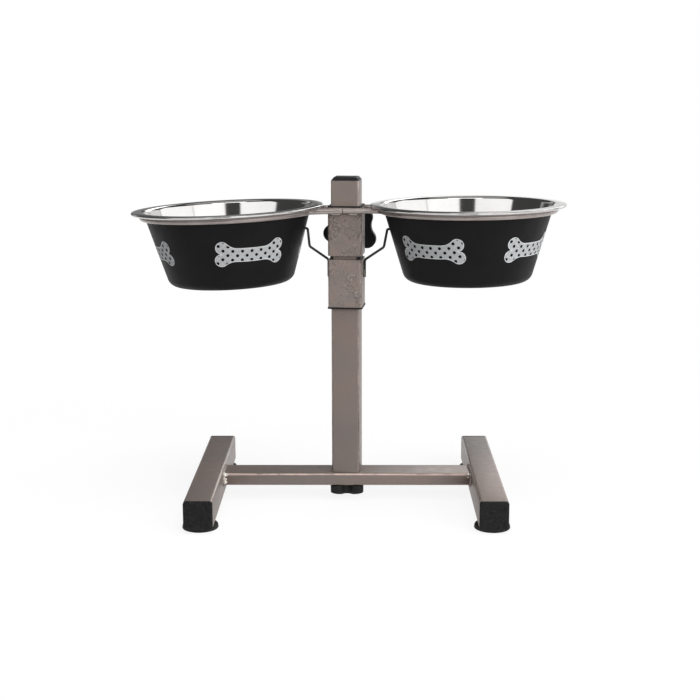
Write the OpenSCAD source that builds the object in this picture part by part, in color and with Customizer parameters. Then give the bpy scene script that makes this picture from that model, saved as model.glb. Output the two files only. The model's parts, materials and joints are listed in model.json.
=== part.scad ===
// Height-adjustable double dog feeder: an H-shaped tube base, a square post,
// a clamped sleeve with two wire rings, a bowl-lock collar and two steel bowls.
// Millimetres, +Z up, the origin on the floor under the middle of the post.

/* [Base] */
// Outside width of the square foot tubes
foot_tube_w = 25; // [20:1:32]
// Length of each foot tube without its end caps
foot_tube_l = 210; // [170:1:280]
// Distance between the centre lines of the two feet
foot_spacing = 250; // [210:1:320]
// Depth of the flat crossbar, front to back
crossbar_w = 30; // [27:0.5:40]
// Height of the flat crossbar
crossbar_h = 11.5; // [9:0.5:15]
// How far the crossbar's top lies below the tops of the feet
crossbar_drop = 2.7; // [2:0.1:6]
// Wall of the base tubes
base_tube_wall = 1.5; // [1:0.1:2.5]
// Corner radius of the base tubes
base_corner_r = 2.5; // [2:0.1:3.5]
// Radius of the weld beads at the ends of the crossbar
base_weld_r = 1.8; // [1:0.1:1.9]

/* [Foot caps and pads] */
// Thickness of an end cap's outer plate
cap_t = 3; // [2:0.1:6]
// Clearance between the end cap's plug and the pad's stem in the tube
cap_plug_clear = 0.7; // [0.4:0.1:4]
// Wall of the end cap's hollow plug
cap_plug_wall = 1.6; // [1:0.1:2.5]
// Rounding of the end cap's front edges
cap_edge_r = 1.2; // [0.5:0.1:1.8]
// Diameter of a foot pad
pad_d = 31; // [24:0.5:38]
// Thickness of a foot pad
pad_t = 3.5; // [2.5:0.1:8]
// Distance from a tube's end to the middle of its pad
pad_inset = 16; // [15:0.5:30]
// Diameter of the stem that snaps into the foot tube
pad_stem_d = 8; // [5:0.5:10]

/* [Post] */
// Outside width of the square post
post_w = 25; // [22:1:32]
// Length of the post tube
post_l = 264; // [240:1:340]
// Wall of the post tube
post_wall = 1.5; // [1:0.1:2.5]
// Corner radius of the post tube
post_corner_r = 2; // [1.6:0.1:3]
// Turn of the post, and of all that it carries, on the base
post_turn = -6; // [-45:0.5:45]
// Height of the bevelled cap above the post's end
post_cap_h = 3; // [2:0.1:6]
// How far the post cap's bevel runs in on each side
post_cap_bevel = 2.4; // [1:0.1:4]
// Thickness of the threaded block in the post's foot
post_nut_t = 10; // [6:0.5:20]

/* [Screws] */
// Thread diameter of the base screw and the clamp screw
stud_d = 8; // [6:0.5:10]
// Diameter of the plain holes that the screws pass through
stud_hole_d = 9; // [8.3:0.1:11]

/* [Base knob] */
// Radius to the tips of the base knob's lobes
base_knob_tip_r = 18.7; // [18:0.1:20]
// Radius to the bottoms of the base knob's valleys
base_knob_valley_r = 9.8; // [9.2:0.1:10.4]
// Radius of each base knob lobe
base_knob_lobe_r = 6; // [5.6:0.1:6.4]
// Height of the base knob
base_knob_h = 9.2; // [7:0.1:10]
// Clearance between the base knob and the crossbar
base_knob_gap = 0.3; // [0.2:0.1:1]

/* [Sleeve] */
// Distance from the post's end down to the sleeve's top edge
sleeve_drop = 23.2; // [5:0.1:60]
// Outside width of the sleeve and the lock collar
sleeve_w = 30; // [29.5:0.1:36]
// Height of the sleeve
sleeve_h = 42.5; // [38:0.5:60]
// Wall of the sleeve and the lock collar
sleeve_wall = 1.5; // [1:0.1:1.7]
// Corner radius of the sleeve and the lock collar
sleeve_corner_r = 2.2; // [1.8:0.1:3]
// Thickness of the flanges on the plastic glides
glide_flange_t = 1.3; // [0.8:0.1:2]
// How far the sleeve's glide reaches down inside the sleeve
glide_skirt_l = 12; // [6:0.5:16]

/* [Clamp] */
// Distance from the sleeve's top edge down to the clamp screw
clamp_drop = 25; // [23:0.5:30]
// Width across flats of the welded clamp nut
clamp_nut_af = 13; // [12.5:0.1:17]
// Thickness of the clamp nut
clamp_nut_t = 6.5; // [5:0.1:10]
// Distance from the clamp nut to the clamp knob
clamp_knob_gap = 2.5; // [0.5:0.1:8]
// Radius to the tips of the clamp knob's lobes
clamp_knob_tip_r = 25; // [24:0.1:26]
// Radius to the bottoms of the clamp knob's valleys
clamp_knob_valley_r = 19; // [18:0.1:19.6]
// Radius of each clamp knob lobe
clamp_knob_lobe_r = 8; // [7.4:0.1:8.8]
// Height of the clamp knob's lobed head
clamp_knob_h = 15; // [12:0.5:22]
// Turn of the clamp knob's lobes about its axis
clamp_knob_phase = 8.6; // [0:0.1:72]
// Height of the round hub between the knob's head and the nut
clamp_hub_h = 4; // [2:0.5:8]
// Diameter of that round hub
clamp_hub_d = 21; // [16:0.5:28]

/* [Bowl rings] */
// Diameter of the ring wire
ring_wire_d = 4.8; // [4:0.1:6]
// Clearance between the sleeve and the rims of the bowls
ring_clear = 6.1; // [4:0.1:30]
// Distance from the sleeve's top edge down to the ring wire's centre
ring_drop = 2.5; // [2.5:0.1:8]
// Bend radius where a ring runs out into its straight ends
ring_bend_r = 8; // [6:0.5:12]
// Place of the butt seam between the two ring wires, from the middle
ring_seam_x = -1.5; // [-6:0.5:6]
// Width of the butt seam
ring_seam_gap = 0.4; // [0.3:0.1:1]
// Angle by which the left ring's outer end sags
left_sag_angle = 2.4; // [0:0.1:3]
// Angle by which the right ring's outer end sags
right_sag_angle = -0.5; // [-1:0.1:3]
// Radius of the weld beads between the ring wires and the sleeve
ring_weld_r = 1.3; // [1:0.1:1.6]
// Length of each weld bead between a ring wire and the sleeve
ring_weld_l = 9; // [5:0.5:10]

/* [Bowl lock] */
// Height of the lock collar
collar_h = 42.5; // [25:0.5:60]
// Gap between the sleeve and the lock collar
collar_gap = 3.4; // [3:0.1:12]
// How far the collar's glide stands out above the collar
glide_lip_h = 2.4; // [1:0.1:2.6]
// Width of the glide's lip that is left at the front corners
glide_lip_corner = 3; // [2:0.1:8]
// Overhang of the collar glide's flange past the collar
glide_overhang = 0.5; // [0:0.1:1.5]
// Diameter of the lock wires
lock_wire_d = 2.2; // [1.6:0.1:3]
// Length of the leg that is welded to the collar's side
lock_leg_l = 15.5; // [10:0.5:20]
// Distance from the collar's top edge down to the lock wire's first bend
lock_root_drop = 1.5; // [1:0.1:4]
// Distance from the post's axis to the lock wire's outer bend
lock_bend_x = 34; // [28:0.5:35]
// Height of the lock wire's outer bend above the collar's top edge
lock_bend_rise = 10; // [6:0.5:14]
// Height of the lock wire's tip above the collar's top edge
lock_tip_rise = 26; // [20:0.5:28]
// Bend radius of the lock wires
lock_bend_r = 3.5; // [2:0.5:5]
// Length of the tip that is bent over towards the bowl
lock_hook_l = 2.2; // [1.8:0.1:4]
// Bend radius of that tip
lock_hook_r = 1.4; // [1.2:0.1:2]

/* [Bowls] */
// Width of a bowl's rim, from its wall to its edge
bowl_rim_w = 11.4; // [9:0.1:14]
// Outside radius of a bowl's wall at the level of the rim's underside
bowl_neck_r = 74.3; // [70:0.1:76]
// Outside radius of a bowl's wall carried down to its base
bowl_base_r = 55; // [45:0.5:66]
// Depth of a bowl from the rim's underside to its base
bowl_h = 65; // [50:0.5:80]
// Thickness of the bowl's steel sheet
bowl_t = 0.7; // [0.5:0.1:1.2]
// Radius of the bowl's round bottom corner
bowl_corner_r = 9; // [5:0.5:14]
// Radius of the neck between a bowl's wall and its rim
bowl_neck_fillet = 3; // [2:0.1:4]
// Radius of the rolled bead at the rim's edge
bowl_bead_r = 1.1; // [0.9:0.1:2]
// Fall of the flat rim towards its edge, in degrees
bowl_rim_fall = 1.5; // [0:0.5:10]

/* [Fits] */
// Clearance of the threads and the knobs' inserts
thread_gap = 0.05; // [0.02:0.01:0.1]
// Clearance of plugs, stems and blocks in their tubes
plug_gap = 0.1; // [0.05:0.01:0.2]
// Clearance between the post and the plastic glides
slide_gap = 0.15; // [0.1:0.01:0.3]
// Clearance between a bowl and the wires that it rests on
seat_gap = 0.3; // [0.2:0.05:0.5]
// Clearance of wires from the tubes that they are welded to
weld_gap = 0.1; // [0.05:0.01:0.2]

/* [Hidden] */

$fn = 64;
// Straight pieces that a tube's rounded corner is drawn with
corner_steps = 6;
// Straight pieces in each arc of a turned profile
arc_steps = 8;
// Spare length of a cutting tool past the face that it cuts
cut = 1;
// How far a wire's bends lap into its straight lengths
wire_lap = 0.15;
// How much thinner than the wire those bends and the round tips are
wire_step = 0.02;
// Smallest corner radius, inside tubes and on plugs and blocks
small_corner_r = 0.5;
// How far the ribs of an end cap's plug stand out, their length and their number
cap_rib_h = 0.4;
cap_rib_l = 1.4;
cap_ribs = 3;
// How far the barb on a pad's stem stands out, and its length
pad_barb_h = 0.8;
pad_barb_l = 3;
// Bevel round a pad
pad_edge = 0.8;
// Length of the post cap's plug inside the post
post_plug_l = 14;
// Thickness left over the screws' ends in the knobs
base_knob_floor = 3;
clamp_knob_floor = 5;
// Lobes, dome and chamfer of the two knobs
base_knob_lobes = 4;
base_knob_dome = 1.6;
base_knob_chamfer = 0.8;
clamp_knob_lobes = 5;
clamp_knob_dome = 4;
clamp_knob_chamfer = 1.5;
// Share of a knob's radius that the flat middle of its dome takes
dome_flat_share = 0.25;
// Chamfer of the clamp nut's corners
clamp_nut_chamfer = 0.7;
// How far the weld beads' middles stand off the sleeve, below the ring wires and off the collar, in radii
ring_weld_off = 0.7;
ring_weld_drop = 0.3;
lock_weld_off = 0.5;

paint_colour = [0.45, 0.41, 0.39];
black_colour = [0.06, 0.06, 0.065];
steel_colour = [0.72, 0.72, 0.74];
bowl_colour = [0.12, 0.12, 0.13];

left = -1;
right = 1;
front = -1;
rear = 1;

// Base: heights and places
foot_z = pad_t;
foot_top_z = foot_z + foot_tube_w;
crossbar_top_z = foot_top_z - crossbar_drop;
crossbar_z = crossbar_top_z - crossbar_h;
crossbar_l = foot_spacing - foot_tube_w;
pad_y = foot_tube_l/2 - pad_inset;
cap_plug_l = pad_inset - pad_stem_d/2 - pad_barb_h - cap_plug_clear;
base_inner_r = max(base_corner_r - base_tube_wall, small_corner_r);

// Post: its foot stands on the crossbar
post_z = crossbar_top_z + plug_gap;
post_top_z = post_z + post_l;
post_inner_w = post_w - 2*post_wall;

// Screws and the base knob below the crossbar
stud_r = stud_d/2;
thread_r = stud_r - thread_gap;
stud_hole_r = stud_hole_d/2;
base_knob_top_z = crossbar_z - base_knob_gap;
base_stud_seat = base_knob_h - base_knob_floor;

// Sleeve, collar and glides
sleeve_top_z = post_top_z - sleeve_drop;
sleeve_z = sleeve_top_z - sleeve_h;
sleeve_inner_w = sleeve_w - 2*sleeve_wall;
glide_inner_w = post_w + 2*slide_gap;
glide_corner_r = post_corner_r + slide_gap;
collar_top_z = sleeve_z - collar_gap;
collar_z = collar_top_z - collar_h;

// Clamp: distances behind the post's axis
clamp_z = sleeve_top_z - clamp_drop;
clamp_nut_y = sleeve_w/2;
clamp_knob_y = clamp_nut_y + clamp_nut_t + clamp_knob_gap;
clamp_stud_tip_y = post_w/2 + plug_gap;
clamp_stud_seat = clamp_hub_h + clamp_knob_h - clamp_knob_floor;

// Bowls: the seat plane is the underside of the rim's bead
bowl_rim_r = bowl_neck_r + bowl_rim_w;
bowl_slope = (bowl_neck_r - bowl_base_r)/bowl_h;
bowl_wall_a = atan(bowl_slope);
function bowl_wall_r(z) = bowl_neck_r + z*bowl_slope;

// Rings: each wire hugs the bowl's wall just below the rim
ring_wire_r = ring_wire_d/2;
ring_z = sleeve_top_z - ring_drop;
ring_offset = sleeve_w/2 + ring_clear + bowl_rim_r;
bowl_seat = ring_wire_r + seat_gap;
ring_r = bowl_wall_r(-bowl_seat) + (ring_wire_r + seat_gap)/cos(bowl_wall_a);
ring_run_y = sleeve_w/2 + ring_wire_r + weld_gap;
ring_bend_y = ring_run_y + ring_bend_r;
ring_bend_x = ring_offset - sqrt(pow(ring_r + ring_bend_r, 2) - pow(ring_bend_y, 2));
ring_bend_a = atan2(ring_bend_y, ring_offset - ring_bend_x);

// Lock wires: the tip stops just short of the sagged bowl's wall
lock_wire_r = lock_wire_d/2;
lock_leg_x = sleeve_w/2 + lock_wire_r + weld_gap;
function arm_sag(side) = side == left ? left_sag_angle : right_sag_angle;
function wall_level(sag, z) =
    (z + (ring_offset - bowl_neck_r)*sin(sag) - bowl_seat*cos(sag))/(bowl_slope*sin(sag) + cos(sag));
function wall_x(sag, z) =
    let (level = wall_level(sag, z))
    (ring_offset - bowl_wall_r(level))*cos(sag) + (bowl_seat + level)*sin(sag);
function lock_tip_x(side) =
    wall_x(arm_sag(side), collar_top_z + lock_tip_rise - ring_z)
    - (lock_wire_r + seat_gap)/cos(bowl_wall_a + abs(arm_sag(side)));

// Points along an arc of a flat outline
function arc(centre, r, from, to, steps = arc_steps) =
    [for (i = [0:steps]) let (a = from + (to - from)*i/steps) centre + r*[cos(a), sin(a)]];

// Outline of a rectangle with round corners, centred on the origin
function round_rect(w, h, r) =
    let (x = w/2 - r, y = h/2 - r)
    concat(arc([x, y], r, 0, 90, corner_steps), arc([-x, y], r, 90, 180, corner_steps),
           arc([-x, -y], r, 180, 270, corner_steps), arc([x, -y], r, 270, 360, corner_steps));

// A rectangular bar with round corners, standing on its end
module bar(w, h, r, l) {
    linear_extrude(l) polygon(round_rect(w, h, r));
}

// A rectangular tube with round corners, standing on its end
module tube(w, h, r, wall, l) {
    difference() {
        bar(w, h, r, l);
        translate([0, 0, -cut]) bar(w - 2*wall, h - 2*wall, max(r - wall, small_corner_r), l + 2*cut);
    }
}

// A round rod from one point of the XY plane to another
module rod(from, to, d) {
    run = to - from;
    translate([from.x, from.y, 0]) rotate([0, 0, atan2(run.y, run.x)]) rotate([0, 90, 0])
        cylinder(d = d, h = norm(run));
}

// A round rod bent along an arc of the XY plane
module bent_rod(centre, r, from, turn, d) {
    translate([centre.x, centre.y, 0]) rotate([0, 0, from])
        rotate_extrude(angle = turn) translate([r, 0]) circle(d = d);
}

// A bend between two straight lengths, which laps a little into both of them
module wire_bend(centre, r, from, turn, d) {
    lap = asin(wire_lap/r);
    bent_rod(centre, r, from - lap, turn + 2*lap, d - wire_step);
}

// The star outline of a knob: lobes joined by valleys that run into them smoothly
function star(lobes, tip_r, valley_r, lobe_r) =
    let (step = 360/lobes,
         lobe_at = tip_r - lobe_r,
         reach = lobe_at*cos(step/2),
         valley_fillet = (lobe_r*lobe_r - lobe_at*lobe_at - valley_r*valley_r + 2*valley_r*reach)
             /(2*(valley_r - reach - lobe_r)),
         valley_at = valley_r + valley_fillet,
         meet = atan2(valley_at*sin(step/2), valley_at*cos(step/2) - lobe_at))
    [for (i = [0:lobes - 1]) let (a = i*step, b = a + step/2) each concat(
        arc(lobe_at*[cos(a), sin(a)], lobe_r, a - meet, a + meet),
        arc(valley_at*[cos(b), sin(b)], valley_fillet, a + meet + 180, a + step - meet + 180))];

// A turned blank with a chamfered foot and a domed top with a flat middle, which crowns a knob
module crown(r, h, dome, chamfer) {
    reach = r + cut;
    dome_r = (r*r + dome*dome)/(2*dome);
    flat_r = dome_flat_share*r;
    rotate_extrude() polygon(concat([[0, 0], [r - chamfer, 0], [reach, chamfer + cut]],
        arc([0, h - dome_r], dome_r, acos(reach/dome_r), acos(flat_r/dome_r)),
        [[0, h - dome_r + sqrt(dome_r*dome_r - flat_r*flat_r)]]));
}

// Frames that the pieces above the base are placed in
module on_post() {
    rotate([0, 0, post_turn]) children();
}
module on_side(side) {
    on_post() mirror([side == left ? 1 : 0, 0, 0]) children();
}
module on_arm(side) {
    on_post() translate([0, 0, ring_z]) mirror([side == left ? 1 : 0, 0, 0])
        rotate([0, arm_sag(side), 0]) children();
}

// Feet, crossbar and welds
module foot_bar(side, wall, end_gap) {
    translate([side*foot_spacing/2, foot_tube_l/2 - end_gap, foot_z + foot_tube_w/2]) rotate([90, 0, 0])
        bar(foot_tube_w - 2*wall, foot_tube_w - 2*wall, max(base_corner_r - wall, small_corner_r),
            foot_tube_l - 2*end_gap);
}
module foot_tube(side) {
    color(paint_colour) difference() {
        foot_bar(side, 0, 0);
        foot_bar(side, base_tube_wall, -cut);
        for (end = [front, rear]) translate([side*foot_spacing/2, end*pad_y, foot_z - cut])
            cylinder(d = pad_stem_d + 2*plug_gap, h = base_tube_wall + 2*cut);
    }
}
module left_foot_tube() { foot_tube(left); }
module right_foot_tube() { foot_tube(right); }

module crossbar() {
    color(paint_colour) difference() {
        translate([-crossbar_l/2, 0, crossbar_z + crossbar_h/2]) rotate([90, 0, 90])
            tube(crossbar_w, crossbar_h, base_corner_r, base_tube_wall, crossbar_l);
        translate([0, 0, crossbar_z - cut]) cylinder(r = stud_hole_r, h = crossbar_h + 2*cut);
    }
}

// A bead that runs round the crossbar's end in the corner with the foot
module crossbar_weld(side) {
    y = crossbar_w/2 - base_corner_r;
    z = crossbar_h/2 - base_corner_r;
    bead_d = 2*base_weld_r;
    color(paint_colour) translate([side*crossbar_l/2, 0, crossbar_z + crossbar_h/2]) rotate([90, 0, 90])
    difference() {
        union() {
            for (s = [-1, 1]) {
                rod([-y, s*crossbar_h/2], [y, s*crossbar_h/2], bead_d);
                rod([s*crossbar_w/2, -z], [s*crossbar_w/2, z], bead_d);
            }
            for (i = [0:3])
                wire_bend([(i == 0 || i == 3 ? y : -y), (i < 2 ? z : -z)], base_corner_r, 90*i, 90, bead_d);
        }
        translate([0, 0, -crossbar_l/2]) bar(crossbar_w, crossbar_h, base_corner_r, crossbar_l);
        translate([-crossbar_w, -crossbar_w, side == left ? -crossbar_w : 0]) cube(
            [2*crossbar_w, 2*crossbar_w, crossbar_w]);
    }
}
module left_crossbar_weld() { crossbar_weld(left); }
module right_crossbar_weld() { crossbar_weld(right); }

// End caps: a rounded plate on a hollow ribbed plug
module foot_cap(side, end) {
    plug_w = foot_tube_w - 2*base_tube_wall - 2*plug_gap;
    core_w = plug_w - 2*cap_rib_h;
    color(black_colour)
    translate([side*foot_spacing/2, end*foot_tube_l/2, foot_z + foot_tube_w/2])
    rotate([end == front ? 90 : -90, 0, 0]) {
        intersection() {
            bar(foot_tube_w, foot_tube_w, base_corner_r, cap_t);
            for (turn = [0, 90]) rotate([0, 0, turn]) rotate([90, 0, 0])
                translate([0, 0, -foot_tube_w]) linear_extrude(2*foot_tube_w) polygon(concat(
                    [[-foot_tube_w/2, 0], [foot_tube_w/2, 0]],
                    arc([foot_tube_w/2 - cap_edge_r, cap_t - cap_edge_r], cap_edge_r, 0, 90, corner_steps),
                    arc([cap_edge_r - foot_tube_w/2, cap_t - cap_edge_r], cap_edge_r, 90, 180,
                        corner_steps)));
        }
        difference() {
            translate([0, 0, -cap_plug_l]) union() {
                bar(core_w, core_w, base_inner_r, cap_plug_l);
                for (i = [0:cap_ribs - 1]) translate([0, 0, cap_plug_l*(i + 0.5)/cap_ribs - cap_rib_l/2])
                    bar(plug_w, plug_w, base_inner_r, cap_rib_l);
            }
            translate([0, 0, -cap_plug_l - cut])
                bar(core_w - 2*cap_plug_wall, core_w - 2*cap_plug_wall, small_corner_r, cap_plug_l + cut);
        }
    }
}
module left_front_foot_cap() { foot_cap(left, front); }
module left_rear_foot_cap() { foot_cap(left, rear); }
module right_front_foot_cap() { foot_cap(right, front); }
module right_rear_foot_cap() { foot_cap(right, rear); }

// Pads: a round rubber foot with a snap-in stem
module foot_pad(side, end) {
    neck_z = pad_t + base_tube_wall + plug_gap;
    stem_r = pad_stem_d/2;
    color(black_colour) translate([side*foot_spacing/2, end*pad_y, 0]) rotate_extrude() polygon([
        [0, 0], [pad_d/2 - pad_edge, 0], [pad_d/2, pad_edge], [pad_d/2 - pad_edge/2, pad_t],
        [stem_r, pad_t], [stem_r, neck_z], [stem_r + pad_barb_h, neck_z],
        [stem_r - pad_barb_h, neck_z + pad_barb_l], [0, neck_z + pad_barb_l]]);
}
module left_front_foot_pad() { foot_pad(left, front); }
module left_rear_foot_pad() { foot_pad(left, rear); }
module right_front_foot_pad() { foot_pad(right, front); }
module right_rear_foot_pad() { foot_pad(right, rear); }

// Post, its bevelled cap and the threaded block in its foot
module post_tube() {
    color(paint_colour) on_post() translate([0, 0, post_z])
        tube(post_w, post_w, post_corner_r, post_wall, post_l);
}
module post_top_cap() {
    plug_w = post_inner_w - 2*plug_gap;
    color(black_colour) on_post() translate([0, 0, post_top_z]) {
        intersection() {
            bar(post_w, post_w, post_corner_r, post_cap_h);
            for (turn = [0, 90]) rotate([0, 0, turn]) rotate([90, 0, 0])
                translate([0, 0, -post_w]) linear_extrude(2*post_w) polygon([
                    [-post_w/2, 0], [post_w/2, 0],
                    [post_w/2 - post_cap_bevel, post_cap_h], [post_cap_bevel - post_w/2, post_cap_h]]);
        }
        translate([0, 0, -post_plug_l]) bar(plug_w, plug_w, small_corner_r, post_plug_l);
    }
}
module post_base_nut() {
    block_w = post_inner_w - 2*plug_gap;
    color(steel_colour) on_post() translate([0, 0, post_z]) difference() {
        bar(block_w, block_w, small_corner_r, post_nut_t);
        translate([0, 0, -cut]) cylinder(r = stud_r, h = post_nut_t + 2*cut);
    }
}

// Base screw and its four-lobed knob
module base_stud() {
    color(steel_colour) translate([0, 0, base_knob_top_z - base_stud_seat])
        cylinder(r = thread_r, h = post_z + post_nut_t - base_knob_top_z + base_stud_seat);
}
module base_knob() {
    color(black_colour) translate([0, 0, base_knob_top_z]) mirror([0, 0, 1]) difference() {
        intersection() {
            rotate([0, 0, 180/base_knob_lobes]) linear_extrude(base_knob_h)
                polygon(star(base_knob_lobes, base_knob_tip_r, base_knob_valley_r, base_knob_lobe_r));
            crown(base_knob_tip_r, base_knob_h, base_knob_dome, base_knob_chamfer);
        }
        translate([0, 0, -cut]) cylinder(r = stud_r, h = base_stud_seat + thread_gap + cut);
    }
}

// Sleeve, its top glide, and the clamp at its back
module ring_sleeve() {
    color(paint_colour) on_post() difference() {
        translate([0, 0, sleeve_z]) tube(sleeve_w, sleeve_w, sleeve_corner_r, sleeve_wall, sleeve_h);
        translate([0, 0, clamp_z]) rotate([-90, 0, 0]) cylinder(r = stud_hole_r, h = sleeve_w);
    }
}
module sleeve_glide() {
    skirt_w = sleeve_inner_w - 2*plug_gap;
    color(black_colour) on_post() translate([0, 0, sleeve_top_z]) difference() {
        union() {
            bar(sleeve_w - 2*plug_gap, sleeve_w - 2*plug_gap, sleeve_corner_r, glide_flange_t);
            translate([0, 0, -glide_skirt_l]) bar(skirt_w, skirt_w, glide_corner_r, glide_skirt_l);
        }
        translate([0, 0, -glide_skirt_l - cut])
            bar(glide_inner_w, glide_inner_w, glide_corner_r, glide_skirt_l + glide_flange_t + 2*cut);
    }
}
module clamp_nut() {
    corner_r = clamp_nut_af/2/cos(30);
    color(paint_colour) on_post() translate([0, clamp_nut_y, clamp_z]) rotate([-90, 0, 0]) difference() {
        intersection() {
            cylinder(r = corner_r, h = clamp_nut_t, $fn = 6);
            rotate_extrude() polygon([
                [0, 0], [corner_r + cut, 0], [corner_r + cut, clamp_nut_t - clamp_nut_chamfer],
                [clamp_nut_af/2, clamp_nut_t], [0, clamp_nut_t]]);
        }
        translate([0, 0, -cut]) cylinder(r = stud_r, h = clamp_nut_t + 2*cut);
    }
}
module clamp_stud() {
    color(steel_colour) on_post() translate([0, clamp_stud_tip_y, clamp_z]) rotate([-90, 0, 0])
        cylinder(r = thread_r, h = clamp_knob_y + clamp_stud_seat - clamp_stud_tip_y);
}
module clamp_knob() {
    color(black_colour) on_post() translate([0, clamp_knob_y, clamp_z]) rotate([-90, 0, 0]) difference() {
        union() {
            cylinder(d = clamp_hub_d, h = clamp_hub_h + cut);
            translate([0, 0, clamp_hub_h]) intersection() {
                rotate([0, 0, 180 - clamp_knob_phase]) linear_extrude(clamp_knob_h)
                    polygon(star(clamp_knob_lobes, clamp_knob_tip_r, clamp_knob_valley_r, clamp_knob_lobe_r));
                crown(clamp_knob_tip_r, clamp_knob_h, clamp_knob_dome, clamp_knob_chamfer);
            }
        }
        translate([0, 0, -cut]) cylinder(r = stud_r, h = clamp_stud_seat + thread_gap + cut);
    }
}

// Bowl rings: each wire leaves the sleeve straight, bends out and runs round its bowl
module bowl_ring(side) {
    start_x = ring_seam_gap/2 + side*ring_seam_x;
    color(paint_colour) on_arm(side) {
        for (s = [-1, 1]) {
            rod([start_x, s*ring_run_y], [ring_bend_x, s*ring_run_y], ring_wire_d);
            wire_bend([ring_bend_x, s*ring_bend_y], ring_bend_r, s < 0 ? ring_bend_a : -90,
                      90 - ring_bend_a, ring_wire_d);
        }
        bent_rod([ring_offset, 0], ring_r, ring_bend_a - 180, 360 - 2*ring_bend_a, ring_wire_d);
    }
}
module left_bowl_ring() { bowl_ring(left); }
module right_bowl_ring() { bowl_ring(right); }

// Beads under the ring wires' straight ends, on the sleeve's front and back
module ring_weld_beads() {
    bead_y = sleeve_w/2 + ring_weld_off*ring_weld_r;
    bead_z = ring_z - ring_wire_r - ring_weld_drop*ring_weld_r;
    bead_x = 2*abs(ring_seam_x) + ring_seam_gap;
    color(paint_colour) difference() {
        on_post() for (s = [-1, 1]) for (end = [front, rear])
            translate([s > 0 ? bead_x : -bead_x - ring_weld_l, end*bead_y, bead_z]) rotate([0, 90, 0])
                cylinder(r = ring_weld_r, h = ring_weld_l);
        on_post() translate([0, 0, sleeve_z]) bar(sleeve_w, sleeve_w, sleeve_corner_r, sleeve_h);
        for (side = [left, right]) on_arm(side) for (s = [-1, 1])
            rod([-sleeve_w, s*ring_run_y], [sleeve_w, s*ring_run_y], ring_wire_d);
    }
}

// Lock collar, its glide and the two lock wires
module lock_collar() {
    color(paint_colour) on_post() translate([0, 0, collar_z])
        tube(sleeve_w, sleeve_w, sleeve_corner_r, sleeve_wall, collar_h);
}
module collar_glide() {
    flange_w = sleeve_w + 2*glide_overhang;
    skirt_w = sleeve_inner_w - 2*plug_gap;
    skirt_l = collar_h + glide_lip_h;
    window_w = skirt_w - 2*glide_lip_corner;
    color(black_colour) on_post() translate([0, 0, collar_z]) {
        difference() {
            union() {
                translate([0, 0, -glide_flange_t])
                    bar(flange_w, flange_w, sleeve_corner_r + glide_overhang, glide_flange_t);
                bar(skirt_w, skirt_w, glide_corner_r, skirt_l);
            }
            translate([0, 0, -glide_flange_t - cut])
                bar(glide_inner_w, glide_inner_w, glide_corner_r, skirt_l + glide_flange_t + 2*cut);
            translate([-window_w/2, -sleeve_w, collar_h]) cube([window_w, sleeve_w, sleeve_w]);
        }
    }
}
module lock_wire(side) {
    root = [lock_leg_x, collar_top_z - lock_root_drop];
    bend = [lock_bend_x, collar_top_z + lock_bend_rise];
    tip = [lock_tip_x(side), collar_top_z + lock_tip_rise];
    points = [root - [0, lock_leg_l], root, bend, tip - [lock_hook_l, 0], tip];
    bend_radii = [lock_bend_r, lock_bend_r, lock_hook_r];
    bends = len(bend_radii);
    runs = [for (i = [0:bends]) points[i + 1] - points[i]];
    headings = [for (r = runs) atan2(r.y, r.x)];
    turns = [for (i = [0:bends - 1]) headings[i + 1] - headings[i]];
    trims = [0, for (i = [0:bends - 1]) bend_radii[i]*tan(abs(turns[i])/2), 0];
    color(black_colour) on_side(side) rotate([90, 0, 0]) {
        for (i = [0:bends]) let (way = runs[i]/norm(runs[i]))
            rod(points[i] + trims[i]*way, points[i + 1] - trims[i + 1]*way, lock_wire_d);
        for (i = [0:bends - 1]) let (hand = sign(turns[i]), h = headings[i], r = bend_radii[i])
            wire_bend(points[i + 1] - trims[i + 1]*[cos(h), sin(h)] + hand*r*[-sin(h), cos(h)],
                      r, hand > 0 ? h - 90 : headings[i + 1] + 90, abs(turns[i]), lock_wire_d);
        translate([tip.x, tip.y, 0]) sphere(d = lock_wire_d - wire_step);
    }
}
module left_lock_wire() { lock_wire(left); }
module right_lock_wire() { lock_wire(right); }

// A bead beside each lock wire's leg
module lock_weld_beads() {
    bead_r = lock_wire_r;
    bead_l = lock_leg_l/2;
    bead_x = sleeve_w/2 + lock_weld_off*bead_r;
    color(paint_colour) for (side = [left, right]) on_side(side) difference() {
        translate([bead_x, -lock_wire_r, collar_top_z - lock_root_drop - lock_leg_l])
            cylinder(r = bead_r, h = bead_l);
        translate([lock_leg_x, 0, collar_z]) cylinder(d = lock_wire_d, h = collar_h);
        translate([0, 0, collar_z]) bar(sleeve_w, sleeve_w, sleeve_corner_r, collar_h);
    }
}

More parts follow.
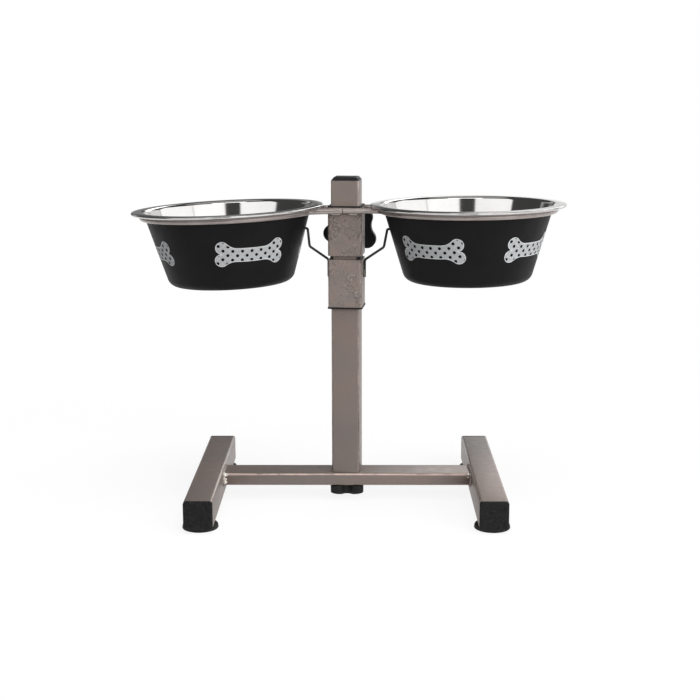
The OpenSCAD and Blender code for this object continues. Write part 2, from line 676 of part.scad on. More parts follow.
// A bowl turned from its section: base, round corner, sloping wall, neck, rim and rolled bead
function bowl_section() =
    let (bead_at = [bowl_rim_r - bowl_bead_r, bowl_bead_r],
         wall_out = [cos(bowl_wall_a), -sin(bowl_wall_a)],
         rim_up = [sin(bowl_rim_fall), cos(bowl_rim_fall)],
         rim_under = bead_at*rim_up + bowl_bead_r - bowl_t - bowl_neck_fillet,
         wall_off = bowl_neck_r*wall_out.x + bowl_neck_fillet,
         spread = cos(bowl_wall_a - bowl_rim_fall),
         neck_at = [(rim_under*sin(bowl_wall_a) + wall_off*cos(bowl_rim_fall))/spread,
                    (rim_under*cos(bowl_wall_a) - wall_off*sin(bowl_rim_fall))/spread],
         corner_at = [bowl_base_r + bowl_corner_r*(bowl_slope - 1/cos(bowl_wall_a)), bowl_corner_r - bowl_h],
         bead_from = 90 - bowl_rim_fall + acos((bowl_bead_r - bowl_t)/bowl_bead_r))
    concat([[0, -bowl_h]],
        arc(corner_at, bowl_corner_r, -90, -bowl_wall_a),
        arc(neck_at, bowl_neck_fillet, 180 - bowl_wall_a, 90 - bowl_rim_fall),
        arc(bead_at, bowl_bead_r, bead_from, 450 - bowl_rim_fall, 2*arc_steps),
        arc(neck_at, bowl_neck_fillet + bowl_t, 90 - bowl_rim_fall, 180 - bowl_wall_a),
        arc(corner_at, bowl_corner_r - bowl_t, -bowl_wall_a, -90),
        [[0, bowl_t - bowl_h]]);
module bowl(side) {
    color(bowl_colour) on_arm(side) translate([ring_offset, 0, bowl_seat])
        rotate_extrude() polygon(bowl_section());
}
module left_bowl() { bowl(left); }
module right_bowl() { bowl(right); }

left_foot_tube();
right_foot_tube();
crossbar();
left_crossbar_weld();
right_crossbar_weld();
left_front_foot_cap();
left_rear_foot_cap();
right_front_foot_cap();
right_rear_foot_cap();
left_front_foot_pad();
left_rear_foot_pad();
right_front_foot_pad();
right_rear_foot_pad();
post_tube();
post_top_cap();
post_base_nut();
base_stud();
base_knob();
ring_sleeve();
sleeve_glide();
clamp_nut();
clamp_stud();
clamp_knob();
left_bowl_ring();
right_bowl_ring();
ring_weld_beads();
lock_collar();
collar_glide();
left_lock_wire();
right_lock_wire();
lock_weld_beads();
left_bowl();
right_bowl();
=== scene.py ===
import json
import math
import random

import bmesh
import bpy
from mathutils import Matrix, Vector


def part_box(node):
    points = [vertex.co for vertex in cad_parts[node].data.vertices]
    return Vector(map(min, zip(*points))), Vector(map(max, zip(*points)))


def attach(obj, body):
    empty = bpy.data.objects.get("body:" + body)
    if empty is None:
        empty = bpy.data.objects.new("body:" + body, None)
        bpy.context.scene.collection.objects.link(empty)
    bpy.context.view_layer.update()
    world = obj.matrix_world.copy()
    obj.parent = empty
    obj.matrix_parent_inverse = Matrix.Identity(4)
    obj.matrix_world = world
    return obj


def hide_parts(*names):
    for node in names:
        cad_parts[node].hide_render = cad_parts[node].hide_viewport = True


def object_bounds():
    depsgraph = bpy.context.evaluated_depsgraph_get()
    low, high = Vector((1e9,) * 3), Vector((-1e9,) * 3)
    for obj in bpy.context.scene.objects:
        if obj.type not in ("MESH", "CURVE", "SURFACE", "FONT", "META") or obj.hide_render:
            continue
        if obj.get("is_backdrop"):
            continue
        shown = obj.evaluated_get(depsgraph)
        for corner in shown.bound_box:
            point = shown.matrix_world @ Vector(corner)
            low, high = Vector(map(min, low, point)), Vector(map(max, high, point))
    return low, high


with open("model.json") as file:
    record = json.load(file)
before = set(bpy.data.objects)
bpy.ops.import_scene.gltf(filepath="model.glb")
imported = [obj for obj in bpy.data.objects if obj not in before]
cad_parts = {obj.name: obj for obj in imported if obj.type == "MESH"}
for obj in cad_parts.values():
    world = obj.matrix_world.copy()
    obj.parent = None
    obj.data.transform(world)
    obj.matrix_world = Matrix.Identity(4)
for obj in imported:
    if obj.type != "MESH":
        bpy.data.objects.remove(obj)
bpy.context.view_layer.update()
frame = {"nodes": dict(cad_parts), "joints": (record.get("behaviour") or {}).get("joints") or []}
print("frame loaded:", len(frame["nodes"]), "nodes")

mm = 0.001
facing = 0.99         # a face that looks along an axis
cornerSteps = 6       # facets of a round tube corner
seamReach = 0.002*mm  # points nearer than this are one
axes = {"X": 0, "Y": 1, "Z": 2}
joints = {joint["name"]: joint for joint in frame["joints"]}
sides = {"left": -1, "right": 1}
halfTurn = {"left": math.pi, "right": 0}
ends = {"front": -1, "rear": 1}


# small helpers, one step of hand work each

def freshStart():
    if bpy.context.object and bpy.context.object.mode != "OBJECT":
        bpy.ops.object.mode_set(mode="OBJECT")
    bpy.ops.object.select_all(action="DESELECT")


def takeUp(piece):
    freshStart()
    piece.select_set(True)
    bpy.context.view_layer.objects.active = piece


def openMesh(piece):
    takeUp(piece)
    bpy.ops.object.mode_set(mode="EDIT")


def closeMesh():
    bpy.ops.object.mode_set(mode="OBJECT")


def pick(kind, test):
    bpy.ops.mesh.select_mode(type=kind)
    bpy.ops.mesh.select_all(action="DESELECT")
    data = bpy.context.object.data
    mesh = bmesh.from_edit_mesh(data)
    for item in {"VERT": mesh.verts, "EDGE": mesh.edges, "FACE": mesh.faces}[kind]:
        if test(item):
            item.select_set(True)
    mesh.select_flush_mode()
    bmesh.update_edit_mesh(data)


def pickAll():
    bpy.ops.mesh.select_all(action="SELECT")


def pickedVerts():
    return [vert for vert in bmesh.from_edit_mesh(bpy.context.object.data).verts if vert.select]


def pushOut(shift):
    bpy.ops.mesh.extrude_region_move(TRANSFORM_OT_translate={"value": shift})


def faceOutward():
    pickAll()
    bpy.ops.mesh.normals_make_consistent(inside=False)


def closeSeams():
    bpy.ops.mesh.select_mode(type="VERT")
    pickAll()
    bpy.ops.mesh.remove_doubles(threshold=seamReach)
    faceOutward()


def useModifier(piece, kind, **settings):
    modifier = piece.modifiers.new(kind.title(), kind)
    for key, value in settings.items():
        setattr(modifier, key, value)
    takeUp(piece)
    bpy.ops.object.modifier_apply(modifier=modifier.name)


def softenEdges(piece, width, angle=40, segments=2):
    useModifier(piece, "BEVEL", width=width, segments=segments, limit_method="ANGLE",
                angle_limit=math.radians(angle))


def smooth(piece, angle=34):
    takeUp(piece)
    bpy.ops.object.shade_smooth_by_angle(angle=math.radians(angle))


def settle():
    bpy.ops.object.transform_apply(location=True, rotation=True, scale=True)


def place(piece, matrix):
    piece.matrix_world = matrix
    takeUp(piece)
    settle()


def copyOf(piece, name):
    copy = piece.copy()
    copy.data = piece.data.copy()
    copy.name = name
    bpy.context.scene.collection.objects.link(copy)
    return copy


def addBox(name, size, centre):
    freshStart()
    bpy.ops.mesh.primitive_cube_add(size=1, location=centre, scale=size)
    piece = bpy.context.object
    piece.name = name
    settle()
    return piece


def startDisc(name, points, radius, spot, turn=(0, 0, 0)):
    # a filled circle, picked and ready to be pulled
    freshStart()
    bpy.ops.mesh.primitive_circle_add(vertices=points, radius=radius, fill_type="NGON",
                                      location=spot, rotation=turn)
    piece = bpy.context.object
    piece.name = name
    settle()
    bpy.ops.object.mode_set(mode="EDIT")
    bpy.ops.mesh.select_mode(type="FACE")
    pickAll()
    return piece


def arc(centre, radius, start, end, steps):
    angles = [math.radians(start + (end - start)*i/steps) for i in range(steps + 1)]
    return [(centre[0] + radius*math.cos(a), centre[1] + radius*math.sin(a)) for a in angles]


def drawProfile(name, points):
    # one vertex, pulled along the points as with E and G
    freshStart()
    bpy.ops.mesh.primitive_plane_add(size=mm)
    piece = bpy.context.object
    piece.name = name
    bpy.ops.object.mode_set(mode="EDIT")
    bpy.ops.mesh.select_mode(type="VERT")
    pickAll()
    bpy.ops.mesh.merge(type="CENTER")
    bpy.ops.transform.translate(value=points[0])
    for here, there in zip(points, points[1:]):
        step = Vector(there) - Vector(here)
        bpy.ops.mesh.extrude_vertices_move(TRANSFORM_OT_translate={"value": step})
    return piece


def turnProfile(name, points, steps):
    piece = drawProfile(name, [Vector((r, 0, z)) for r, z in points])
    pickAll()
    bpy.ops.mesh.spin(steps=steps, angle=2*math.pi, center=(0, 0, 0), axis=(0, 0, 1))
    closeSeams()
    closeMesh()
    return piece


def roundCorners(axis, least, radius):
    # the box's edges that run along the axis
    pick("EDGE", lambda edge: abs((edge.verts[0].co - edge.verts[1].co)[axis]) > least)
    bpy.ops.mesh.bevel(offset=radius, segments=cornerSteps, affect="EDGES")


def squareTube(name, tube, centre, along):
    axis = axes[along]
    size = [tube["width"], tube["depth"]]
    size.insert(axis, tube["length"])
    piece = addBox(name, size, centre)
    openMesh(piece)
    pick("FACE", lambda face: abs(face.normal[axis]) > facing)
    bpy.ops.mesh.delete(type="ONLY_FACE")
    roundCorners(axis, tube["length"]/2, tube["corner"])
    closeMesh()
    useModifier(piece, "SOLIDIFY", thickness=tube["wall"], offset=-1, use_even_offset=True)
    softenEdges(piece, tube["rim"])
    markCornerWearAndHighlight(piece, axis)
    smooth(piece)
    return piece


def markWearAndHighlight(piece, wearAndHighlight):
    # a value on each face: where it is set, the paint is lighter, partly as wear and partly as a painted
    # highlight
    strip = piece.data.attributes.new("edgeWearAndHighlight", "FLOAT", "FACE")
    for face in piece.data.polygons:
        strip.data[face.index].value = max(0.0, min(1.0, wearAndHighlight(face)))


# faces turning round a corner get the lighter strip: worn paint and a painted highlight of the edge
cornerWearAndHighlight = {"flatFrom": 0.96, "fade": 0.15}


def markCornerWearAndHighlight(piece, axis):
    def wearAndHighlight(face):
        across = max(abs(face.normal[i]) for i in range(3) if i != axis)
        return (cornerWearAndHighlight["flatFrom"] - across)/cornerWearAndHighlight["fade"]
    markWearAndHighlight(piece, wearAndHighlight)


def fadeBelow(piece, level, share):
    # the lower corners keep little of the lighter strip: its painted highlight belongs on the upper edges,
    # where the light falls
    strip = piece.data.attributes["edgeWearAndHighlight"]
    for face in piece.data.polygons:
        if face.center.z < level:
            strip.data[face.index].value *= share


bendSteps = {"least": 4, "stepLength": 3*mm}


def bendWire(name, wire, start, heading, moves):
    # a circle pulled along runs and swept round bends, in the XY plane
    spot = Vector((start[0], start[1], 0))
    piece = startDisc(name, wire["round"], wire["radius"], spot, (0, math.pi/2, heading))
    for move in moves:
        ahead = Vector((math.cos(heading), math.sin(heading), 0))
        if move[0] == "run":
            pushOut(ahead*move[1])
            spot += ahead*move[1]
            continue
        turn, radius = move[1:]
        hand = math.copysign(1, turn)
        centre = spot + hand*radius*Vector((-ahead.y, ahead.x, 0))
        perRadian = max(wire["perRadian"], radius/bendSteps["stepLength"])
        steps = max(bendSteps["least"], round(abs(turn)*perRadian))
        bpy.ops.mesh.spin(steps=steps, angle=-turn, center=centre, axis=(0, 0, 1))
        spot = centre + Matrix.Rotation(turn, 3, "Z") @ (spot - centre)
        heading += turn
    faceOutward()
    closeMesh()
    softenEdges(piece, wire["endRound"], angle=60, segments=3)
    smooth(piece)
    return piece


beadLump = {"least": 0.8, "most": 1.0, "drift": 0.12, "grain": 0.22*mm}


def weldBead(name, spots, seed):
    # overlapping lumps, melted together
    chance = random.Random(seed)
    freshStart()
    first = True
    for spot, radius in spots:
        lump = radius*chance.uniform(beadLump["least"], beadLump["most"])
        drift = beadLump["drift"]
        middle = Vector(spot) + Vector([chance.uniform(-drift, drift)*radius for i in range(3)])
        bpy.ops.mesh.primitive_ico_sphere_add(subdivisions=2, radius=lump, location=middle)
        if first:
            piece = bpy.context.object
            piece.name = name
            settle()
            bpy.ops.object.mode_set(mode="EDIT")
            first = False
    closeMesh()
    useModifier(piece, "REMESH", mode="VOXEL", voxel_size=beadLump["grain"], use_smooth_shade=True)
    useModifier(piece, "SMOOTH", factor=0.5, iterations=2)
    return piece


def fit(piece, body, look, slot, *nodes):
    piece.data.materials.clear()
    piece.data.materials.append(look)
    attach(piece, body)
    if nodes:
        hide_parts(*nodes)


# places that the frame gives

clampAxis = Vector(joints["clamp_knob_turn"]["axis"])
postTurn = math.atan2(-clampAxis.x, clampAxis.y)
onPost = Matrix.Rotation(postTurn, 4, "Z")
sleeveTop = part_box("ring_sleeve")[1].z
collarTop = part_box("lock_collar")[1].z
clampZ = joints["clamp_knob_turn"]["pos_m"][2]


def armSag(side):
    lean = onPost.inverted() @ Vector(joints[side + "_bowl_lift"]["axis"])
    return math.asin(sides[side]*lean.x)


def armFrame(side):
    return (onPost @ Matrix.Translation((0, 0, ring["height"]))
            @ Matrix.Rotation(halfTurn[side], 4, "Z") @ Matrix.Rotation(armSag(side), 4, "Y"))


# looks

def addNode(look, kind, inputs=None, **settings):
    made = look.node_tree.nodes.new("ShaderNode" + kind)
    for key, value in settings.items():
        setattr(made, key, value)
    for key, value in (inputs or {}).items():
        socket = made.inputs[key]
        if isinstance(value, bpy.types.NodeSocket):
            look.node_tree.links.new(value, socket)
        else:
            socket.default_value = value
    return made


def noise(look, coords, size, detail=3.0, rough=0.55):
    inputs = {"Vector": coords, "Scale": 1/size, "Detail": detail, "Roughness": rough}
    return addNode(look, "TexNoise", inputs).outputs["Fac"]


def spread(look, value, low, high, toLow=0.0, toHigh=1.0):
    inputs = {"Value": value, "From Min": low, "From Max": high, "To Min": toLow, "To Max": toHigh}
    return addNode(look, "MapRange", inputs).outputs["Result"]


def mixColour(look, factor, first, second):
    inputs = {0: factor, 6: first, 7: second}
    return addNode(look, "Mix", inputs, data_type="RGBA").outputs[2]


def maths(look, operation, first, second=0.0):
    return addNode(look, "Math", {0: first, 1: second}, operation=operation).outputs[0]


def vectors(look, operation, *inputs):
    return addNode(look, "VectorMath", dict(enumerate(inputs)), operation=operation)


def bump(look, height, depth, under=None):
    inputs = {"Strength": 1.0, "Distance": depth, "Height": height}
    if under:
        inputs["Normal"] = under
    return addNode(look, "Bump", inputs).outputs["Normal"]


def newLook(name):
    look = bpy.data.materials.new(name)
    look.use_nodes = True
    return look, look.node_tree.nodes["Principled BSDF"]


def join(look, output, socket):
    look.node_tree.links.new(output, socket)


def dressShader(look, shader, colour, rough, normal, metal=0.0, shine=0.5):
    join(look, colour, shader.inputs["Base Color"])
    join(look, rough, shader.inputs["Roughness"])
    join(look, normal, shader.inputs["Normal"])
    shader.inputs["Metallic"].default_value = metal
    shader.inputs["Specular IOR Level"].default_value = shine


# where each noise turns from none to full
noiseCut = {"blotch": (0.35, 0.65), "fleck": (0.56, 0.72), "pitShade": (0.54, 0.64), "runPatch": (0.48, 0.56),
            "wearAndHighlight": (0.4, 0.66), "rough": (0.3, 0.7), "tarnish": (0.4, 0.7), "polish": (0.7, 1.3)}


def coatedLook(name, coat):
    look, shader = newLook(name)
    coords = addNode(look, "TexCoord").outputs["Object"]
    blotch = spread(look, noise(look, coords, coat["blotchSize"], 4), *noiseCut["blotch"])
    colour = mixColour(look, blotch, coat["shade"], coat["colour"])
    fleck = spread(look, noise(look, coords, coat["fleckSize"], 2), *noiseCut["fleck"])
    fleck = maths(look, "MULTIPLY", fleck, coat["fleckShare"])
    colour = mixColour(look, fleck, colour, coat["fleck"])
    # darker spots: painted shade of small dimples, which get no bump of their own
    if "pitShare" in coat:
        pitShade = spread(look, noise(look, coords, coat["pitSize"], 4, 0.7), *noiseCut["pitShade"])
        pitShade = maths(look, "MULTIPLY", pitShade, coat["pitShare"])
        colour = mixColour(look, pitShade, colour, coat["pitShade"])
    if "runShare" in coat:
        # thin wandering ridges in patches, as thick paint leaves; their lighter colour is a painted highlight
        # on the ridges' lit tops
        wander = maths(look, "SUBTRACT", noise(look, coords, coat["runSize"], 4), 0.5)
        wander = maths(look, "ABSOLUTE", wander)
        patch = spread(look, noise(look, coords, coat["runPatch"], 2), *noiseCut["runPatch"])
        run = maths(look, "MULTIPLY", spread(look, wander, 0, coat["runWidth"], 1, 0), patch)
        ridge = maths(look, "MULTIPLY", run, coat["runShare"])
        colour = mixColour(look, ridge, colour, coat["run"])
    wearAndHighlightNoise = noise(look, coords, coat["wearSize"], 5, 0.65)
    # a lighter strip along the marked corners, broken into patches: worn paint and a painted edge highlight
    if "cornerShare" in coat:
        strip = addNode(look, "Attribute", attribute_name="edgeWearAndHighlight").outputs["Fac"]
        wornAndLit = spread(look, wearAndHighlightNoise, *coat.get("wearAndLightRange", noiseCut["wearAndHighlight"]))
        wornAndLit = maths(look, "MULTIPLY", strip, wornAndLit)
        wornAndLit = maths(look, "MULTIPLY", wornAndLit, coat["cornerShare"])
        colour = mixColour(look, wornAndLit, colour, coat["wornAndLit"])
    rough = spread(look, wearAndHighlightNoise, *noiseCut["rough"], coat["roughLow"], coat["roughHigh"])
    if "cornerShare" in coat:
        rough = maths(look, "MULTIPLY", rough, spread(look, strip, 0, 1, 1, coat["cornerGloss"]))
    peel = bump(look, noise(look, coords, coat["peelSize"], 2), coat["peelDepth"])
    if "runShare" in coat:
        peel = bump(look, run, coat["runDepth"], peel)
    grain = bump(look, noise(look, coords, coat["grainSize"], 2), coat["grainDepth"], peel)
    dressShader(look, shader, colour, rough, grain, coat.get("metal", 0.0), coat.get("shine", 0.5))
    return look


def shiftTone(colour, factor):
    return tuple(channel*factor for channel in colour[:3]) + (1.0,)


# wornAndLit is the lighter colour of the corner strip: worn paint and a painted edge highlight together
taupe = (0.200, 0.154, 0.135, 1.0)
coolTaupe = (0.170, 0.145, 0.133, 1.0)
tubeCoat = {
    "colour": taupe, "shade": coolTaupe, "blotchSize": 45*mm,
    "fleck": shiftTone(taupe, 1.5), "fleckSize": 0.5*mm, "fleckShare": 0.45,
    "wornAndLit": shiftTone(taupe, 2.1), "wearSize": 7*mm, "cornerShare": 0.75, "cornerGloss": 0.38,
    "roughLow": 0.34, "roughHigh": 0.46, "metal": 0.35,
    "peelSize": 2.2*mm, "peelDepth": 0.04*mm, "grainSize": 0.45*mm, "grainDepth": 0.015*mm}
barCoat = {  # the crossbar's edges get longer and lighter stretches: a painted highlight along its lit front edge, with some wear
    **tubeCoat, "wornAndLit": shiftTone(taupe, 3.2), "wearSize": 12*mm, "wearAndLightRange": (0.28, 0.5),
    "cornerShare": 0.9, "peelDepth": 0.03*mm}
framePaint = coatedLook("framePaint", tubeCoat)
barPaint = coatedLook("barPaint", barCoat)
sleevePaint = coatedLook("sleevePaint", {
    "colour": shiftTone(taupe, 1.28), "shade": shiftTone(coolTaupe, 1.22), "blotchSize": 14*mm,
    "fleck": (0.36, 0.31, 0.29, 1), "fleckSize": 1.4*mm, "fleckShare": 0.35,
    # the darker pit colour is painted shade of small dimples
    "pitShade": shiftTone(taupe, 0.4), "pitSize": 2.2*mm, "pitShare": 0.3,
    # the lighter run colour is a painted highlight on the paint ridges
    "run": (0.42, 0.37, 0.35, 1), "runSize": 7*mm, "runWidth": 0.06, "runPatch": 16*mm,
    "runShare": 0.45, "runDepth": 0.7*mm,
    "wornAndLit": shiftTone(taupe, 2.3), "wearSize": 5*mm, "cornerShare": 0.8, "cornerGloss": 0.4,
    "roughLow": 0.36, "roughHigh": 0.5, "metal": 0.35,
    "peelSize": 1.8*mm, "peelDepth": 0.18*mm, "grainSize": 0.5*mm, "grainDepth": 0.04*mm})
wirePaint = coatedLook("wirePaint", {
    "colour": (0.36, 0.315, 0.295, 1), "shade": (0.29, 0.25, 0.235, 1), "blotchSize": 14*mm,
    "fleck": (0.46, 0.41, 0.39, 1), "fleckSize": 0.6*mm, "fleckShare": 0.4,
    "wearSize": 6*mm, "roughLow": 0.13, "roughHigh": 0.22, "metal": 0.5,
    "peelSize": 1.6*mm, "peelDepth": 0.03*mm, "grainSize": 0.4*mm, "grainDepth": 0.01*mm})
# its near-white wornAndLit colour is a painted glint on the weld lumps, and on the ring welds a painted
# highlight
weldPaint = coatedLook("weldPaint", {
    "colour": shiftTone(taupe, 1.1), "shade": coolTaupe, "blotchSize": 5*mm,
    "fleck": (0.42, 0.38, 0.35, 1), "fleckSize": 1.6*mm, "fleckShare": 0.6,
    "wornAndLit": (0.86, 0.81, 0.75, 1), "wearSize": 3*mm, "wearAndLightRange": (0.3, 0.5),
    "cornerShare": 1.0, "cornerGloss": 0.7,
    "roughLow": 0.28, "roughHigh": 0.42, "metal": 0.3,
    "peelSize": 1.2*mm, "peelDepth": 0.08*mm, "grainSize": 0.4*mm, "grainDepth": 0.02*mm})
wireBlack = coatedLook("wireBlack", {
    "colour": (0.045, 0.042, 0.040, 1), "shade": (0.025, 0.024, 0.023, 1), "blotchSize": 6*mm,
    "fleck": (0.10, 0.095, 0.09, 1), "fleckSize": 0.5*mm, "fleckShare": 0.5,
    "wearSize": 3*mm, "roughLow": 0.28, "roughHigh": 0.4, "metal": 0.6,
    "peelSize": 1.0*mm, "peelDepth": 0.03*mm, "grainSize": 0.3*mm, "grainDepth": 0.01*mm})
blackPlastic = coatedLook("blackPlastic", {
    "colour": (0.012, 0.012, 0.013, 1), "shade": (0.008, 0.008, 0.009, 1), "blotchSize": 9*mm,
    "fleck": (0.022, 0.022, 0.022, 1), "fleckSize": 0.6*mm, "fleckShare": 0.5,
    "wearSize": 4*mm, "roughLow": 0.4, "roughHigh": 0.58, "shine": 0.17,
    "peelSize": 1.2*mm, "peelDepth": 0.05*mm, "grainSize": 0.35*mm, "grainDepth": 0.03*mm})
capPlastic = coatedLook("capPlastic", {
    "colour": (0.011, 0.011, 0.011, 1), "shade": (0.006, 0.006, 0.006, 1), "blotchSize": 4*mm,
    "fleck": (0.035, 0.035, 0.034, 1), "fleckSize": 2.2*mm, "fleckShare": 0.5,
    "wearSize": 3*mm, "roughLow": 0.42, "roughHigh": 0.66, "shine": 0.17,
    "peelSize": 2.4*mm, "peelDepth": 0.35*mm, "grainSize": 0.7*mm, "grainDepth": 0.06*mm})
blackRubber = coatedLook("blackRubber", {
    "colour": (0.013, 0.013, 0.013, 1), "shade": (0.009, 0.009, 0.009, 1), "blotchSize": 5*mm,
    "fleck": (0.03, 0.03, 0.029, 1), "fleckSize": 0.8*mm, "fleckShare": 0.4,
    "wearSize": 3*mm, "roughLow": 0.62, "roughHigh": 0.8, "shine": 0.35,
    "peelSize": 0.8*mm, "peelDepth": 0.04*mm, "grainSize": 0.3*mm, "grainDepth": 0.03*mm})
bowlCoat = coatedLook("bowlCoat", {
    "colour": (0.0085, 0.0080, 0.0083, 1), "shade": (0.0065, 0.0062, 0.0065, 1), "blotchSize": 30*mm,
    "fleck": (0.014, 0.014, 0.0145, 1), "fleckSize": 0.5*mm, "fleckShare": 0.4,
    "wearSize": 12*mm, "roughLow": 0.44, "roughHigh": 0.56, "shine": 0.1,
    "peelSize": 1.8*mm, "peelDepth": 0.03*mm, "grainSize": 0.4*mm, "grainDepth": 0.012*mm})


def platedLook(name, plate):
    look, shader = newLook(name)
    coords = addNode(look, "TexCoord").outputs["Object"]
    tarnish = spread(look, noise(look, coords, plate["tarnishSize"], 5), *noiseCut["tarnish"])
    colour = mixColour(look, tarnish, plate["colour"], plate["tarnish"])
    rough = spread(look, tarnish, 0, 1, plate["roughLow"], plate["roughHigh"])
    grain = bump(look, noise(look, coords, plate["grainSize"]), plate["grainDepth"])
    dressShader(look, shader, colour, rough, grain, metal=1.0)
    return look


platedSteel = platedLook("platedSteel", {
    "colour": (0.62, 0.62, 0.63, 1), "tarnish": (0.45, 0.43, 0.38, 1), "tarnishSize": 4*mm,
    "roughLow": 0.25, "roughHigh": 0.45, "grainSize": 0.3*mm, "grainDepth": 0.008*mm})


def bowlSteelLook(name, steel):
    # polishing lines run round the bowl, along its own map
    look, shader = newLook(name)
    turned = addNode(look, "UVMap", uv_map="turned").outputs["UV"]
    lines = addNode(look, "Mapping", {"Vector": turned, "Scale": steel["lineStretch"]})
    fine = noise(look, lines.outputs["Vector"], 1.0, 4, 0.6)
    cloud = noise(look, addNode(look, "TexCoord").outputs["Object"], steel["cloudSize"], 4)
    tone = spread(look, maths(look, "ADD", fine, cloud), *noiseCut["polish"])
    colour = mixColour(look, tone, steel["shade"], steel["colour"])
    rough = spread(look, tone, 0, 1, steel["roughHigh"], steel["roughLow"])
    grooves = bump(look, fine, steel["lineDepth"])
    dressShader(look, shader, colour, rough, grooves, metal=1.0)
    return look


bowlSteel = bowlSteelLook("bowlSteel", {
    "colour": (0.66, 0.65, 0.64, 1), "shade": (0.56, 0.55, 0.54, 1), "cloudSize": 30*mm,
    "lineStretch": (6, 1500, 1), "lineDepth": 0.0001*mm, "roughLow": 0.05, "roughHigh": 0.11})


def bonePrintLook(name, ink):
    look, shader = newLook(name)
    flat = addNode(look, "UVMap", uv_map="bone").outputs["UV"]
    spots = []
    half = Vector((ink["dotPitch"]/2, ink["rowPitch"], 1.0))*ink["mapScale"]
    for shift in ((0, 0, 0), (half.x, half.y, 0)):
        moved = vectors(look, "ADD", flat, shift).outputs[0]
        wrapped = vectors(look, "WRAP", moved, half, -half).outputs[0]
        level = vectors(look, "MULTIPLY", wrapped, (1, 1, 0)).outputs[0]
        spots.append(vectors(look, "LENGTH", level).outputs["Value"])
    reach = ink["dotRadius"]*ink["mapScale"]
    soft = reach*ink["dotSoft"]
    dot = spread(look, maths(look, "MINIMUM", *spots), reach - soft, reach + soft, 1, 0)
    coords = addNode(look, "TexCoord").outputs["Object"]
    blotch = spread(look, noise(look, coords, ink["grainSize"], 3), *noiseCut["blotch"])
    silver = mixColour(look, blotch, ink["shade"], ink["colour"])
    colour = mixColour(look, dot, silver, ink["dot"])
    rough = spread(look, blotch, 0, 1, ink["roughLow"], ink["roughHigh"])
    grain = bump(look, maths(look, "SUBTRACT", blotch, dot), ink["grainDepth"])
    dressShader(look, shader, colour, rough, grain, ink["metal"], ink["shine"])
    return look


boneInk = {
    "colour": (0.50, 0.51, 0.52, 1), "shade": (0.33, 0.34, 0.35, 1), "dot": (0.006, 0.006, 0.006, 1),
    "dotPitch": 8.3*mm, "rowPitch": 4.0*mm, "dotRadius": 1.38*mm, "dotShift": (3.2*mm, 0.6*mm),
    "dotSoft": 0.04, "mapScale": 10.0, "grainSize": 0.7*mm, "grainDepth": 0.01*mm,
    "roughLow": 0.42, "roughHigh": 0.55, "metal": 0.05, "shine": 0.02}
bonePrint = bonePrintLook("bonePrint", boneInk)
boneEdge = coatedLook("boneEdge", {
    "colour": (0.66, 0.67, 0.68, 1), "shade": (0.54, 0.55, 0.56, 1), "blotchSize": 3*mm,
    "fleck": (0.7, 0.7, 0.7, 1), "fleckSize": 0.5*mm, "fleckShare": 0.3,
    "wearSize": 3*mm, "roughLow": 0.4, "roughHigh": 0.5, "metal": 0.05, "shine": 0.05,
    "peelSize": 0.8*mm, "peelDepth": 0.01*mm, "grainSize": 0.3*mm, "grainDepth": 0.006*mm})
print("looks made:", len(bpy.data.materials))


# base: feet, crossbar, welds, caps, pads

footTube = {"width": 25*mm, "depth": 25*mm, "length": 210*mm, "corner": 2.5*mm, "wall": 1.5*mm,
            "rim": 0.25*mm}
crossbar = {"width": 30*mm, "depth": 11.5*mm, "length": 225*mm, "corner": 2.5*mm, "wall": 1.5*mm,
            "rim": 0.2*mm, "lowerWearAndHighlight": 0.25}
for side in sides:
    low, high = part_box(side + "_foot_tube")
    tube = squareTube(side + "FootTube", footTube, (low + high)/2, "Y")
    fit(tube, "base", framePaint, "frame_paint", side + "_foot_tube")
low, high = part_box("crossbar")
barCentre = (low + high)/2
bar = squareTube("crossbarTube", crossbar, barCentre, "X")
# the bar's painted edge highlight stays mostly on its upper corners
fadeBelow(bar, barCentre.z, crossbar["lowerWearAndHighlight"])
fit(bar, "base", barPaint, "frame_paint", "crossbar")
print("base tubes done")

# lumps: in from the foot, up from the bar's middle line, radius
crossbarWeld = {
    "radius": 1.75*mm, "pitch": 1.35*mm, "seed": 11, "cornerSteps": 4, "lumpOut": 0.3*mm,
    "glintReach": 0.5*mm,
    "lumps": {"left": ((1.6*mm, 4.3*mm, 2.3*mm), (3.2*mm, 4.8*mm, 1.7*mm),
                       (1.9*mm, 0.5*mm, 1.5*mm), (2.3*mm, -2.4*mm, 1.7*mm)),
              "right": ((2.4*mm, 5.0*mm, 1.2*mm), (3.0*mm, 2.4*mm, 0.9*mm))}}


def crossbarWeldSpots(side):
    x = sides[side]*crossbar["length"]/2
    y = crossbar["width"]/2
    z = crossbar["depth"]/2
    corner = crossbar["corner"]
    path = []
    for sy, sz, start in ((1, 1, 0), (-1, 1, 90), (-1, -1, 180), (1, -1, 270)):
        path += arc((sy*(y - corner), sz*(z - corner)), corner, start, start + 90,
                    crossbarWeld["cornerSteps"])
    path.append(path[0])
    spots = []
    for here, there in zip(path, path[1:]):
        here = Vector((x, here[0], here[1]))
        run = Vector((x, there[0], there[1])) - here
        count = max(1, round(run.length/crossbarWeld["pitch"]))
        spots += [(barCentre + here + run*i/count, crossbarWeld["radius"]) for i in range(count)]
    return spots


def frontLumps(side):
    lumps = []
    for inward, up, radius in crossbarWeld["lumps"][side]:
        x = sides[side]*(crossbar["length"]/2 - inward)
        y = -crossbar["width"]/2 - crossbarWeld["lumpOut"]
        lumps.append((barCentre + Vector((x, y, up)), radius))
    return lumps


def markWeldGlints(piece, lumps):
    # where the lumps are, a painted glint of near-white instead of the paint
    def wearAndHighlight(face):
        inside = max(radius - (face.center - spot).length for spot, radius in lumps)
        return 1 + inside/crossbarWeld["glintReach"]
    markWearAndHighlight(piece, wearAndHighlight)


